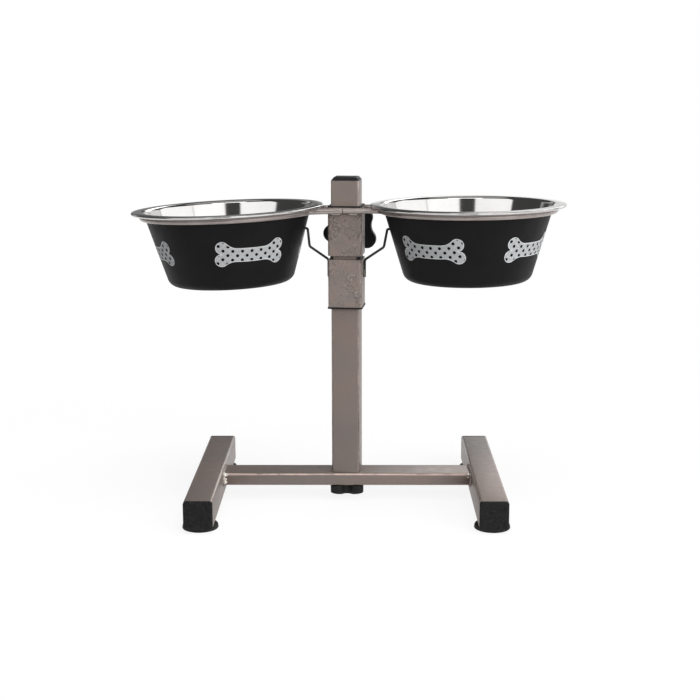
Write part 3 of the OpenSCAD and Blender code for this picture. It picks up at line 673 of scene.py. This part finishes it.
for side in sides:
    lumps = frontLumps(side)
    seed = crossbarWeld["seed"] + sides[side]
    bead = weldBead(side + "CrossbarWeld", crossbarWeldSpots(side) + lumps, seed)
    markWeldGlints(bead, lumps)
    fit(bead, "base", weldPaint, "frame_paint", side + "_crossbar_weld")
print("crossbar welds done")

footCap = {"width": 25*mm, "plate": 3*mm, "corner": 2.5*mm, "edge": 1.2*mm, "plugStep": 1.75*mm,
           "plugLength": 10*mm, "rounding": (0, 18, 36, 54, 72, 90),
           "dish": ((0.86, 0), (0.9, 0.12*mm), (0.6, 0.1*mm))}


def makeFootCap(name):
    # modelled once, facing the front, with its back on y = 0
    w, t = footCap["width"], footCap["plate"]
    flat = t - footCap["edge"]
    cap = addBox(name, (w, flat, w), (0, -flat/2, 0))
    openMesh(cap)
    roundCorners(axes["Y"], flat/2, footCap["corner"])
    pick("FACE", lambda face: face.normal.y < -facing)
    rounding = [math.radians(angle) for angle in footCap["rounding"]]
    for here, there in zip(rounding, rounding[1:]):
        bpy.ops.mesh.inset(thickness=footCap["edge"]*(math.cos(here) - math.cos(there)),
                           depth=footCap["edge"]*(math.sin(there) - math.sin(here)))
    for share, dip in footCap["dish"]:
        pushOut((0, dip, 0))
        bpy.ops.transform.resize(value=(share, 1, share), center_override=(0, -t, 0))
    pick("FACE", lambda face: face.normal.y > facing)
    bpy.ops.mesh.inset(thickness=footCap["plugStep"])
    pushOut((0, footCap["plugLength"], 0))
    closeMesh()
    smooth(cap, angle=30)
    return cap


capModel = makeFootCap("footCapModel")
for side in sides:
    for end in ends:
        node = side + "_" + end + "_foot_cap"
        low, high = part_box(node)
        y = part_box(side + "_foot_tube")[0 if end == "front" else 1].y
        cap = copyOf(capModel, side + end.title() + "FootCap")
        turn = Matrix.Rotation(0 if end == "front" else math.pi, 4, "Z")
        place(cap, Matrix.Translation(((low.x + high.x)/2, y, (low.z + high.z)/2)) @ turn)
        fit(cap, "base", capPlastic, "black_plastic", node)
bpy.data.objects.remove(capModel)
print("foot caps done")

footPad = {"radius": 15.5*mm, "height": 3.5*mm, "edge": 0.8*mm, "lean": 8, "topIn": 1.3, "topRound": 0.8,
           "steps": 72, "edgeSteps": 6, "topSteps": 5,
           "stem": 4*mm, "stemTop": 8*mm, "barb": 4.8*mm, "neck": 5.1*mm,
           "grooves": (5*mm, 8.5*mm, 12*mm), "grooveDepth": 0.5*mm, "grooveHalf": 0.55*mm, "grooveFloor": 0.6}


def padProfile():
    r, h, e = footPad["radius"], footPad["height"], footPad["edge"]
    points = [(0, 0)]
    half, deep = footPad["grooveHalf"], footPad["grooveDepth"]
    flat = footPad["grooveFloor"]*half
    for groove in footPad["grooves"]:
        points += [(groove - half, 0), (groove - flat, deep), (groove + flat, deep), (groove + half, 0)]
    points += arc((r - e, e), e, -90, footPad["lean"], footPad["edgeSteps"])
    top = footPad["topRound"]*e
    points += arc((r - footPad["topIn"]*e, h - top), top, footPad["lean"], 90, footPad["topSteps"])
    points += [(footPad["stem"], h), (footPad["stem"], footPad["neck"])]
    points += [(footPad["barb"], footPad["neck"])]
    points += [(footPad["stem"] - e, footPad["stemTop"]), (0, footPad["stemTop"])]
    return points


padModel = turnProfile("footPadModel", padProfile(), footPad["steps"])
smooth(padModel)
for side in sides:
    for end in ends:
        node = side + "_" + end + "_foot_pad"
        low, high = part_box(node)
        pad = copyOf(padModel, side + end.title() + "FootPad")
        place(pad, Matrix.Translation(((low.x + high.x)/2, (low.y + high.y)/2, low.z)))
        fit(pad, "base", blackRubber, "black_rubber", node)
bpy.data.objects.remove(padModel)
print("foot pads done")


# post, sleeve and collar

postTube = {"width": 25*mm, "depth": 25*mm, "length": 264*mm, "corner": 2*mm, "wall": 1.5*mm,
            "rim": 0.25*mm}
sleeveTube = {"width": 30*mm, "depth": 30*mm, "length": 42.5*mm, "corner": 2.2*mm, "wall": 1.5*mm,
              "rim": 0.3*mm, "hole": 4.5*mm, "holeSteps": 40, "drill": 10*mm}


def uprightTube(name, tube, node):
    low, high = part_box(node)
    return squareTube(name, tube, (0, 0, (low.z + high.z)/2), "Z")


post = uprightTube("postTube", postTube, "post_tube")
place(post, onPost)
fit(post, "post", framePaint, "frame_paint", "post_tube")

sleeve = uprightTube("ringSleeve", sleeveTube, "ring_sleeve")
freshStart()
bpy.ops.mesh.primitive_cylinder_add(vertices=sleeveTube["holeSteps"], radius=sleeveTube["hole"],
                                    depth=sleeveTube["drill"], location=(0, sleeveTube["depth"]/2, clampZ),
                                    rotation=(math.pi/2, 0, 0))
drill = bpy.context.object
useModifier(sleeve, "BOOLEAN", operation="DIFFERENCE", object=drill, solver="EXACT")
bpy.data.objects.remove(drill)
place(sleeve, onPost)
smooth(sleeve)
fit(sleeve, "carrier", sleevePaint, "frame_paint", "ring_sleeve")

collar = uprightTube("lockCollar", sleeveTube, "lock_collar")
place(collar, onPost)
fit(collar, "lock_carriage", sleevePaint, "frame_paint", "lock_collar")

postCap = {"width": 25*mm, "height": 3*mm, "bevel": 2.4*mm, "corner": 2*mm, "soften": 0.5*mm,
           "plugStep": 1.7*mm, "plugLength": 14*mm}


def makePostCap():
    w, h = postCap["width"], postCap["height"]
    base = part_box("post_tube")[1].z
    cap = addBox("postTopCap", (w, w, h), (0, 0, base + h/2))
    openMesh(cap)
    roundCorners(axes["Z"], h/2, postCap["corner"])
    pick("FACE", lambda face: face.normal.z > facing)
    shrink = 1 - 2*postCap["bevel"]/w
    bpy.ops.transform.resize(value=(shrink, shrink, 1), center_override=(0, 0, base + h))
    closeMesh()
    softenEdges(cap, postCap["soften"], angle=20, segments=3)
    openMesh(cap)
    pick("FACE", lambda face: face.normal.z < -facing)
    bpy.ops.mesh.inset(thickness=postCap["plugStep"] - postCap["soften"])
    pushOut((0, 0, -postCap["plugLength"]))
    closeMesh()
    smooth(cap, angle=30)
    place(cap, onPost)
    fit(cap, "post", blackPlastic, "black_plastic", "post_top_cap")


makePostCap()
print("post, sleeve and collar done")


# wire rings and lock wires

ring = {"radius": 2.4*mm, "round": 24, "perRadian": 9, "endRound": 0.6*mm,
        "height": sleeveTop - 2.5*mm, "offset": 106.8*mm, "ringRadius": 76.31*mm, "runY": 17.5*mm,
        "bendRadius": 8*mm, "seam": -1.5*mm, "seamGap": 0.4*mm}


def ringMoves(side):
    rise = ring["runY"] + ring["bendRadius"]
    reach = math.sqrt((ring["ringRadius"] + ring["bendRadius"])**2 - rise**2)
    bendX = ring["offset"] - reach
    tilt = math.atan2(rise, reach)
    startX = ring["seamGap"]/2 + sides[side]*ring["seam"]
    run = ("run", bendX - startX)
    out = ("bend", tilt - math.pi/2, ring["bendRadius"])
    around = ("bend", 2*math.pi - 2*tilt, ring["ringRadius"])
    return (startX, -ring["runY"]), [run, out, around, out, run]


for side in sides:
    start, moves = ringMoves(side)
    wire = bendWire(side + "BowlRing", ring, start, 0.0, moves)
    place(wire, armFrame(side))
    fit(wire, "carrier", wirePaint, "frame_paint", side + "_bowl_ring")

lockWire = {"radius": 1.1*mm, "round": 18, "perRadian": 12, "endRound": 0.5*mm, "legX": 16.2*mm,
            "legLength": 15.5*mm, "rootDrop": 1.5*mm, "bendX": 33.2*mm, "bendRise": 10*mm,
            "tipRise": 26*mm, "bendRadius": 3.5*mm, "hook": 1*mm, "hookRadius": 1.4*mm}


def lockTipX(side):
    # the node's far side, seen along the post's own axes
    node = frame["nodes"][side + "_lock_wire"]
    turned = onPost.inverted()
    return max(sides[side]*(turned @ vert.co).x for vert in node.data.vertices) - lockWire["radius"]


def lockMoves(side):
    root = collarTop - lockWire["rootDrop"]
    tip = Vector((lockTipX(side), collarTop + lockWire["tipRise"]))
    corners = [Vector((lockWire["legX"], root - lockWire["legLength"])),
               Vector((lockWire["legX"], root)),
               Vector((lockWire["bendX"], collarTop + lockWire["bendRise"])),
               tip - Vector((lockWire["hook"], 0)), tip]
    radii = [lockWire["bendRadius"], lockWire["bendRadius"], lockWire["hookRadius"]]
    runs = [there - here for here, there in zip(corners, corners[1:])]
    headings = [math.atan2(run.y, run.x) for run in runs]
    turns = [after - before for before, after in zip(headings, headings[1:])]
    trims = [0] + [radius*math.tan(abs(turn)/2) for radius, turn in zip(radii, turns)] + [0]
    moves = []
    for i, run in enumerate(runs):
        over = lockWire["radius"] if i == len(runs) - 1 else 0
        moves.append(("run", run.length - trims[i] - trims[i + 1] + over))
        if i < len(turns):
            moves.append(("bend", turns[i], radii[i]))
    return corners[0], headings[0], moves


for side in sides:
    start, heading, moves = lockMoves(side)
    wire = bendWire(side + "LockWire", lockWire, start, heading, moves)
    upright = Matrix.Rotation(math.pi/2, 4, "X")
    half = Matrix.Rotation(halfTurn[side], 4, "Z")
    place(wire, onPost @ half @ upright)
    fit(wire, "lock_carriage", wireBlack, "wire_black", side + "_lock_wire")
print("wires done")

ringWeld = {"radius": 1.25*mm, "length": 9*mm, "pitch": 0.9*mm, "from": 3.4*mm, "out": 0.9*mm,
            "down": 0.4*mm, "highlightShare": 0.35, "seed": 5}
lockWeld = {"radius": 1.05*mm, "length": 7.75*mm, "pitch": 0.8*mm, "out": 0.55*mm, "seed": 8}


def beadRow(start, step, length, weld):
    count = round(length/weld["pitch"])
    radius = weld["radius"]
    return [(start + step*(radius + (length - 2*radius)*i/count), radius) for i in range(count + 1)]


spots = []
for end in ends.values():
    y = end*(sleeveTube["depth"]/2 + ringWeld["out"])
    z = ring["height"] - ring["radius"] - ringWeld["down"]
    for hand in sides.values():
        foot = Vector((hand*ringWeld["from"], y, z))
        spots += beadRow(foot, Vector((hand, 0, 0)), ringWeld["length"], ringWeld)
beads = weldBead("ringWeldBeads", spots, ringWeld["seed"])
place(beads, onPost)
# a faint painted highlight over the whole bead, to lift it out of the shade under the ring
markWearAndHighlight(beads, lambda face: ringWeld["highlightShare"])
fit(beads, "carrier", weldPaint, "frame_paint", "ring_weld_beads")

spots = []
for hand in sides.values():
    foot = Vector((hand*(sleeveTube["width"]/2 + lockWeld["out"]), -lockWire["radius"],
                   collarTop - lockWire["rootDrop"] - lockWire["legLength"]))
    spots += beadRow(foot, Vector((0, 0, 1)), lockWeld["length"], lockWeld)
beads = weldBead("lockWeldBeads", spots, lockWeld["seed"])
place(beads, onPost)
fit(beads, "lock_carriage", sleevePaint, "frame_paint", "lock_weld_beads")
print("weld beads done")


# knobs and screws

clampKnob = {"lobes": 5, "tip": 25*mm, "valley": 19*mm, "lobe": 8*mm, "phase": -8.6, "height": 15*mm,
             "dome": 4*mm, "hub": 10.5*mm, "hubHeight": 4*mm, "bore": 4.02*mm, "boreDepth": 14*mm,
             "round": 1.8*mm, "points": 150}
baseKnob = {"lobes": 4, "tip": 18.7*mm, "valley": 9.8*mm, "lobe": 6*mm, "phase": 45, "height": 9.2*mm,
            "dome": 1.6*mm, "hub": 0, "hubHeight": 0, "bore": 4.02*mm, "boreDepth": 6.2*mm,
            "round": 1.2*mm, "points": 144}
# under: inset and height in shares of the round; crown: shares of the star towards the middle
knobEdge = {"bore": 0.3*mm, "hub": 0.6*mm, "under": ((0.7, 0), (0.2, 0.25), (0, 0.7)),
            "over": (0, 22, 45, 68, 90), "crown": (0.82, 0.64, 0.46, 0.28, 0.12), "crownRound": 0.3}


def starReach(knob, angle):
    step = 2*math.pi/knob["lobes"]
    away = abs((angle + step/2) % step - step/2)
    lobeAt = knob["tip"] - knob["lobe"]
    lobe, valley = knob["lobe"], knob["valley"]
    reach = lobeAt*math.cos(step/2)
    hollow = (lobe**2 - lobeAt**2 - valley**2 + 2*valley*reach)/(2*(valley - reach - lobe))
    hollowAt = valley + hollow
    meet = math.atan2(hollowAt*math.sin(step/2), hollowAt*math.cos(step/2) - lobeAt)
    if away <= math.atan2(lobe*math.sin(meet), lobeAt + lobe*math.cos(meet)):
        return lobeAt*math.cos(away) + math.sqrt(lobe**2 - (lobeAt*math.sin(away))**2)
    gap = step/2 - away
    return hollowAt*math.cos(gap) - math.sqrt(hollow**2 - (hollowAt*math.sin(gap))**2)


def knobRows(knob):
    # each row: share of the star, inset, round radius, height or None for the dome, drop below it
    r, bore, hub, top = knob["round"], knob["bore"], knob["hub"], knob["hubHeight"]
    rows = [(0, 0, bore, knobEdge["bore"], 0), (0, 0, bore + knobEdge["bore"], 0, 0)]
    if top:
        rows += [(0, 0, hub - knobEdge["hub"], 0, 0), (0, 0, hub, knobEdge["hub"], 0), (0, 0, hub, top, 0)]
    rows += [(1, inward*r, 0, top + up*r, 0) for inward, up in knobEdge["under"]]
    for angle in knobEdge["over"]:
        a = math.radians(angle)
        rows.append((1, r*(1 - math.cos(a)), 0, None, r*(1 - math.sin(a))))
    middle = knobEdge["crownRound"]*knob["valley"]
    rows += [(share, 0, middle, None, 0) for share in knobEdge["crown"]]
    return rows


def makeKnob(name, knob):
    dome = (knob["tip"]**2 + knob["dome"]**2)/(2*knob["dome"])
    top = knob["hubHeight"] + knob["height"]
    piece = startDisc(name, knob["points"], knob["bore"], (0, 0, knob["boreDepth"]))
    for share, inset, rounded, height, drop in knobRows(knob):
        pushOut((0, 0, 0))
        for vert in pickedVerts():
            angle = math.atan2(vert.co.y, vert.co.x)
            star = starReach(knob, angle - math.radians(knob["phase"])) - inset
            reach = share*star + (1 - share)*rounded
            z = height
            if z is None:
                z = top - dome + math.sqrt(dome**2 - reach**2) - drop
            vert.co = Vector((reach*math.cos(angle), reach*math.sin(angle), z))
        bmesh.update_edit_mesh(piece.data)
    faceOutward()
    closeMesh()
    smooth(piece, angle=40)
    return piece


knob = makeKnob("clampKnob", clampKnob)
nutSide = min(vert.co.dot(clampAxis) for vert in frame["nodes"]["clamp_knob"].data.vertices)
outward = onPost @ Matrix.Translation((0, nutSide, clampZ)) @ Matrix.Rotation(-math.pi/2, 4, "X")
place(knob, outward @ Matrix.Rotation(math.pi, 4, "Z"))
fit(knob, "clamp_knob", blackPlastic, "black_plastic", "clamp_knob")

knob = makeKnob("baseKnob", baseKnob)
low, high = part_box("base_knob")
place(knob, Matrix.Translation((0, 0, high.z)) @ Matrix.Rotation(math.pi, 4, "X"))
fit(knob, "base_knob", blackPlastic, "black_plastic", "base_knob")

# tooth: shares of the depth inward and of the pitch upward
screwThread = {"radius": 3.94*mm, "pitch": 1.25*mm, "depth": 0.7*mm, "steps": 32, "spareTurns": 3,
               "seam": 0.005*mm, "cutSlack": 0.0005*mm,
               "tooth": ((1, 0), (1, 0.12), (0, 0.47), (0, 0.6), (1, 1))}


def makeScrew(name, length):
    r, p, d = screwThread["radius"], screwThread["pitch"], screwThread["depth"]
    tooth = [Vector((r - deep*d, 0, up*p - p)) for deep, up in screwThread["tooth"]]
    piece = drawProfile(name, tooth)
    closeMesh()
    useModifier(piece, "SCREW", axis="Z", angle=2*math.pi, screw_offset=p,
                iterations=round(length/p) + screwThread["spareTurns"], steps=screwThread["steps"],
                render_steps=screwThread["steps"], use_merge_vertices=True,
                merge_threshold=screwThread["seam"])
    openMesh(piece)
    for level, way in ((0, -1), (length, 1)):
        pickAll()
        bpy.ops.mesh.bisect(plane_co=(0, 0, level), plane_no=(0, 0, way), use_fill=True,
                            clear_outer=True, threshold=screwThread["cutSlack"])
    closeSeams()
    closeMesh()
    smooth(piece, angle=25)
    return piece


low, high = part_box("base_stud")
screw = makeScrew("baseScrew", high.z - low.z)
place(screw, Matrix.Translation((0, 0, low.z)))
fit(screw, "base_screw", platedSteel, "plated_steel", "base_stud")
along = [vert.co.dot(clampAxis) for vert in frame["nodes"]["clamp_stud"].data.vertices]
screw = makeScrew("clampScrew", max(along) - min(along))
place(screw, onPost @ Matrix.Translation((0, min(along), clampZ)) @ Matrix.Rotation(-math.pi/2, 4, "X"))
fit(screw, "clamp_screw", platedSteel, "plated_steel", "clamp_stud")
print("knobs and screws done")


# bowls

bowl = {"neck": 74.3*mm, "rim": 85.7*mm, "base": 55*mm, "depth": 65*mm, "sheet": 0.7*mm, "corner": 9*mm,
        "neckRound": 3*mm, "bead": 1.1*mm, "fall": 1.5, "seat": 2.7*mm, "steps": 192,
        "cornerSteps": 14, "neckSteps": 10, "beadSteps": 26, "mapHeight": 200*mm,
        "coat": 0.12*mm, "coatTop": -1.2*mm, "coatTuck": (0.3, 0.5)}
wallSlope = (bowl["neck"] - bowl["base"])/bowl["depth"]
wallLean = math.atan(wallSlope)


def bowlSection():
    a, f = wallLean, math.radians(bowl["fall"])
    t, fillet, bead = bowl["sheet"], bowl["neckRound"], bowl["bead"]
    beadAt = (bowl["rim"] - bead, bead)
    under = beadAt[0]*math.sin(f) + beadAt[1]*math.cos(f) + bead - t - fillet
    off = bowl["neck"]*math.cos(a) + fillet
    apart = math.cos(a - f)
    neckAt = ((under*math.sin(a) + off*math.cos(f))/apart,
              (under*math.cos(a) - off*math.sin(f))/apart)
    cornerAt = (bowl["base"] + bowl["corner"]*(wallSlope - 1/math.cos(a)),
                bowl["corner"] - bowl["depth"])
    lean, fall = math.degrees(a), bowl["fall"]
    beadFrom = 90 - fall + math.degrees(math.acos((bead - t)/bead))
    points = [(0, -bowl["depth"])]
    points += arc(cornerAt, bowl["corner"], -90, -lean, bowl["cornerSteps"])
    points += arc(neckAt, fillet, 180 - lean, 90 - fall, bowl["neckSteps"])
    points += arc(beadAt, bead, beadFrom, 450 - fall, bowl["beadSteps"])
    points += arc(neckAt, fillet + t, 90 - fall, 180 - lean, bowl["neckSteps"])
    points += arc(cornerAt, bowl["corner"] - t, -lean, -90, bowl["cornerSteps"])
    points.append((0, t - bowl["depth"]))
    return points, cornerAt


def mapTurned(piece):
    # a map that runs round the axis one way and up the section the other
    layer = piece.data.uv_layers.new(name="turned")
    for face in piece.data.polygons:
        middle = math.atan2(face.center.y, face.center.x)
        for loop in face.loop_indices:
            spot = piece.data.vertices[piece.data.loops[loop].vertex_index].co
            away = math.atan2(spot.y, spot.x) - middle
            away = (away + math.pi) % (2*math.pi) - math.pi
            around = middle + away if spot.xy.length > seamReach else middle
            layer.data[loop].uv = (around/(2*math.pi), (spot.xy.length + spot.z)/bowl["mapHeight"])


def coatSection(cornerAt):
    # a thin skin over the wall and the base
    lean, skin, radius = math.degrees(wallLean), bowl["coat"], bowl["corner"]
    top, steps = bowl["coatTop"], bowl["cornerSteps"]
    wallTop = bowl["neck"] + wallSlope*top
    tuckIn, tuckUp = (share*skin for share in bowl["coatTuck"])
    outer = [(0, -bowl["depth"] - skin)] + arc(cornerAt, radius + skin, -90, -lean, steps)
    outer += [(wallTop + skin/math.cos(wallLean), top)]
    inner = [(wallTop - tuckIn, top + tuckUp)]
    inner += arc(cornerAt, radius - skin, -lean, -90, steps) + [(0, skin - bowl["depth"])]
    return outer + inner


section, cornerAt = bowlSection()
bowlModel = turnProfile("bowlModel", section, bowl["steps"])
mapTurned(bowlModel)
smooth(bowlModel)
coatModel = turnProfile("coatModel", coatSection(cornerAt), bowl["steps"])
smooth(coatModel)


def bowlFrame(side):
    return armFrame(side) @ Matrix.Translation((ring["offset"], 0, bowl["seat"]))


for side in sides:
    shell = copyOf(bowlModel, side + "BowlShell")
    place(shell, bowlFrame(side))
    fit(shell, side + "_bowl", bowlSteel, "bowl_steel", side + "_bowl")
    skin = copyOf(coatModel, side + "BowlCoat")
    place(skin, bowlFrame(side))
    fit(skin, side + "_bowl", bowlCoat, None)
bpy.data.objects.remove(bowlModel)
bpy.data.objects.remove(coatModel)
print("bowls done")

bone = {"half": 30.7*mm, "lobe": 5.8*mm, "lobeY": 5.7*mm, "shaft": 6.25*mm, "fillet": 13*mm,
        "lobeSteps": 18, "filletSteps": 8, "edge": 0.65*mm, "level": -33.3*mm, "lift": 0.05*mm,
        "thick": 0.12*mm, "cut": 1.6*mm,
        "turns": {"left": 21.5, "right": -33.5}, "places": (0, 86, 180, 266)}


def boneOutline():
    lobeX = bone["half"] - bone["lobe"]
    top = bone["shaft"] + bone["fillet"]
    rise = top - bone["lobeY"]
    back = math.sqrt((bone["fillet"] + bone["lobe"])**2 - rise**2)
    filletX = lobeX - back
    meet = math.degrees(math.atan2(rise, -back))
    notch = math.degrees(math.asin(bone["lobeY"]/bone["lobe"]))
    quarter = arc((lobeX, bone["lobeY"]), bone["lobe"], -notch, meet, bone["lobeSteps"])
    quarter += arc((filletX, top), bone["fillet"], meet - 180, -90, bone["filletSteps"])[1:]
    outline = quarter + [(-x, y) for x, y in reversed(quarter)]
    return outline + [(-x, -y) for x, y in quarter] + [(x, -y) for x, y in reversed(quarter)]


def makeBone(name):
    piece = drawProfile(name, [Vector((x, y, 0)) for x, y in boneOutline()])
    closeSeams()
    pickAll()
    bpy.ops.mesh.edge_face_add()
    bpy.ops.mesh.select_mode(type="FACE")
    pickAll()
    bpy.ops.mesh.inset(thickness=bone["edge"])
    data = piece.data
    data.materials.append(boneEdge)
    data.materials.append(bonePrint)
    piece.active_material_index = 1
    bpy.ops.object.material_slot_assign()
    count = int(2*bone["half"]/bone["cut"])
    for i in range(1, count):
        pickAll()
        bpy.ops.mesh.bisect(plane_co=(-bone["half"] + i*bone["cut"], 0, 0), plane_no=(1, 0, 0))
    closeMesh()
    layer = data.uv_layers.new(name="bone")
    for loop in data.loops:
        spot = data.vertices[loop.vertex_index].co
        layer.data[loop.index].uv = (spot.xy + Vector(boneInk["dotShift"]))*boneInk["mapScale"]
    useModifier(piece, "SOLIDIFY", thickness=bone["thick"], offset=0)
    return piece


def wrapBone(piece, turn):
    # a flat print rolled round the cone of the wall, so its ends rise, in the bowl's own frame
    fromPoint = (bowl["neck"] + wallSlope*bone["level"])/math.sin(wallLean)
    for vert in piece.data.vertices:
        flat = Vector((vert.co.x, fromPoint + vert.co.y))
        lift = bowl["coat"] + bone["lift"] + vert.co.z
        radius = flat.length*math.sin(wallLean) + lift*math.cos(wallLean)
        z = bone["level"] + (flat.length - fromPoint)*math.cos(wallLean) - lift*math.sin(wallLean)
        angle = turn - math.pi/2 + math.atan2(flat.x, flat.y)/math.sin(wallLean)
        vert.co = Vector((radius*math.cos(angle), radius*math.sin(angle), z))
    piece.data.update()


boneModel = makeBone("boneModel")
for side in sides:
    for i, step in enumerate(bone["places"]):
        mark = copyOf(boneModel, side + "Bone" + str(i + 1))
        wrapBone(mark, math.radians(bone["turns"][side] + step) - postTurn - halfTurn[side])
        place(mark, bowlFrame(side))
        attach(mark, side + "_bowl")
bpy.data.objects.remove(boneModel)
print("bone prints done")


# nodes that stay as the frame gives them

keptNodes = {"sleeve_glide": blackPlastic, "collar_glide": blackPlastic, "clamp_nut": framePaint,
             "post_base_nut": platedSteel}
for name, look in keptNodes.items():
    node = frame["nodes"][name]
    node.data.materials.clear()
    node.data.materials.append(look)
print("kept nodes dressed:", len(keptNodes))


# stage: floor, studio light and camera

floorSheet = {"size": 8.0, "colour": (0.9, 0.9, 0.9, 1), "bounce": (0.45, 0.45, 0.45, 1), "rough": 0.9,
              "nearShare": 0.87, "nearReach": 0.25, "farReach": 0.8}


def seenDirectly(look):
    path = addNode(look, "LightPath").outputs
    seen = maths(look, "MAXIMUM", path["Is Camera Ray"], path["Is Glossy Ray"])
    return maths(look, "MAXIMUM", seen, path["Is Transmission Ray"])


freshStart()
bpy.ops.mesh.primitive_plane_add(size=floorSheet["size"])
floor = bpy.context.object
floor.name = "floorSheet"
floor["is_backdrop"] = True
paper, shader = newLook("floorPaper")
# the stand gets less light back from the sheet than the eye does
thrown = addNode(paper, "LightPath").outputs["Is Diffuse Ray"]
tint = mixColour(paper, thrown, floorSheet["colour"], floorSheet["bounce"])
join(paper, tint, shader.inputs["Base Color"])
shader.inputs["Roughness"].default_value = floorSheet["rough"]
glow = addNode(paper, "Emission", {"Color": (1, 1, 1, 1), "Strength": 1.0}).outputs[0]
# the sheet takes the stand's shadow and is plain white further out
flatSpot = vectors(paper, "LENGTH", addNode(paper, "TexCoord").outputs["Object"])
white = spread(paper, flatSpot.outputs["Value"], floorSheet["nearReach"], floorSheet["farReach"],
               floorSheet["nearShare"], 1.0)
share = maths(paper, "MULTIPLY", seenDirectly(paper), white)
shown = addNode(paper, "MixShader", {0: share, 1: shader.outputs[0], 2: glow}).outputs[0]
join(paper, shown, paper.node_tree.nodes["Material Output"].inputs["Surface"])
floor.data.materials.append(paper)

# directions in degrees: round from the camera's side towards the right, and up from the horizon
studio = {
    "room": 0.07, "edge": 3.0,
    "panels": [
        {"from": 8, "to": 60, "low": -20, "high": 43, "level": 1.65},
        {"from": 60, "to": 121, "low": 5, "high": 38, "level": 1.55},
        {"from": -74, "to": -16, "low": 12, "high": 42, "level": 1.45},
        {"from": -30, "to": 30, "low": 44, "high": 51, "level": 4.2},
        {"from": 121, "to": 150, "low": -5, "high": 20, "level": 1.0},
        {"from": 150, "to": 175, "low": 4, "high": 14, "level": 0.8},
        {"from": 150, "to": 176, "low": 14, "high": 44, "level": 2.6},
        {"from": 181, "to": 230, "low": -20, "high": 6, "level": 0.25},
        {"from": 181, "to": 230, "low": 11, "high": 17, "level": 0.6},
        {"from": -10, "to": 370, "low": 62, "high": 95, "level": 0.5}],
    "backdrop": {"from": 140, "to": 181.3, "low": -20, "high": 5.5}}


room = bpy.data.worlds.new("studioRoom")
room.use_nodes = True
bpy.context.scene.world = room
way = addNode(room, "SeparateXYZ", {0: addNode(room, "TexCoord").outputs["Generated"]}).outputs
towards = maths(room, "MULTIPLY", way["Y"], -1.0)
around = maths(room, "DEGREES", maths(room, "ARCTAN2", way["X"], towards))
upward = maths(room, "DEGREES", maths(room, "ARCSINE", way["Z"]))


def band(look, value, low, high, edge):
    rising = spread(look, value, low - edge/2, low + edge/2)
    falling = spread(look, value, high - edge/2, high + edge/2, 1, 0)
    return maths(look, "MULTIPLY", rising, falling)


def window(area):
    turned = maths(room, "WRAP", around, 0.0)
    middle = (area["from"] + area["to"])/2
    turned.node.inputs[1].default_value = middle + 180
    turned.node.inputs[2].default_value = middle - 180
    return maths(room, "MULTIPLY", band(room, turned, area["from"], area["to"], studio["edge"]),
                 band(room, upward, area["low"], area["high"], studio["edge"]))


light = studio["room"]
for panel in studio["panels"]:
    light = maths(room, "MAXIMUM", maths(room, "MULTIPLY", window(panel), panel["level"]), light)
# white all round for the camera, and for mirrored rays where the backdrop stands
path = addNode(room, "LightPath").outputs
mirrored = maths(room, "MAXIMUM", path["Is Glossy Ray"], path["Is Transmission Ray"])
backdrop = maths(room, "MULTIPLY", window(studio["backdrop"]), mirrored)
level = maths(room, "MAXIMUM", maths(room, "MAXIMUM", light, backdrop), path["Is Camera Ray"])
background = room.node_tree.nodes["Background"]
join(room, level, background.inputs["Strength"])
background.inputs["Color"].default_value = (1, 1, 1, 1)

lamps = {
    "overhead": {"at": (0.1, -0.35, 1.5), "size": (1.3, 0.4), "power": 12},
    "frontRight": {"at": (1.0, -1.0, 0.6), "size": (0.8, 0.8), "power": 11},
    "lowBack": {"at": (-0.2, 1.4, 0.3), "size": (1.0, 0.4), "power": 7}}
lampAim = Vector((0, 0, 0.2))
for name, lamp in lamps.items():
    freshStart()
    aim = (lampAim - Vector(lamp["at"])).to_track_quat("-Z", "Y")
    bpy.ops.object.light_add(type="AREA", location=lamp["at"], rotation=aim.to_euler())
    made = bpy.context.object
    made.name = name
    made.data.shape = "RECTANGLE"
    made.data.size, made.data.size_y = lamp["size"]
    made.data.energy = lamp["power"]
    made.visible_camera = False
    made.visible_glossy = False  # the bowls mirror the panels, not the lamps

photoCamera = {"at": (0.0125, -1.1984, 0.3791), "pitch": 11.414, "yaw": -0.462, "roll": -0.104,
               "lens": 69.711, "sensor": 36.0, "nearest": 0.01}
freshStart()
bpy.ops.object.camera_add(location=photoCamera["at"])
camera = bpy.context.object
pitch, yaw, roll = (math.radians(photoCamera[key]) for key in ("pitch", "yaw", "roll"))
ahead = Vector((math.sin(yaw)*math.cos(pitch), math.cos(yaw)*math.cos(pitch), -math.sin(pitch)))
level = Vector((math.cos(yaw), -math.sin(yaw), 0))
upright = level.cross(ahead)
acrossView = level*math.cos(roll) + upright*math.sin(roll)
upView = acrossView.cross(ahead)
turn = Matrix((acrossView, upView, -ahead)).transposed()
camera.rotation_euler = turn.to_euler()
camera.data.lens = photoCamera["lens"]
camera.data.sensor_width = photoCamera["sensor"]
camera.data.clip_start = photoCamera["nearest"]
bpy.context.scene.camera = camera
bpy.context.scene.view_settings.view_transform = "Standard"
print("stage, light and camera done")

freshStart()
low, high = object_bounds()
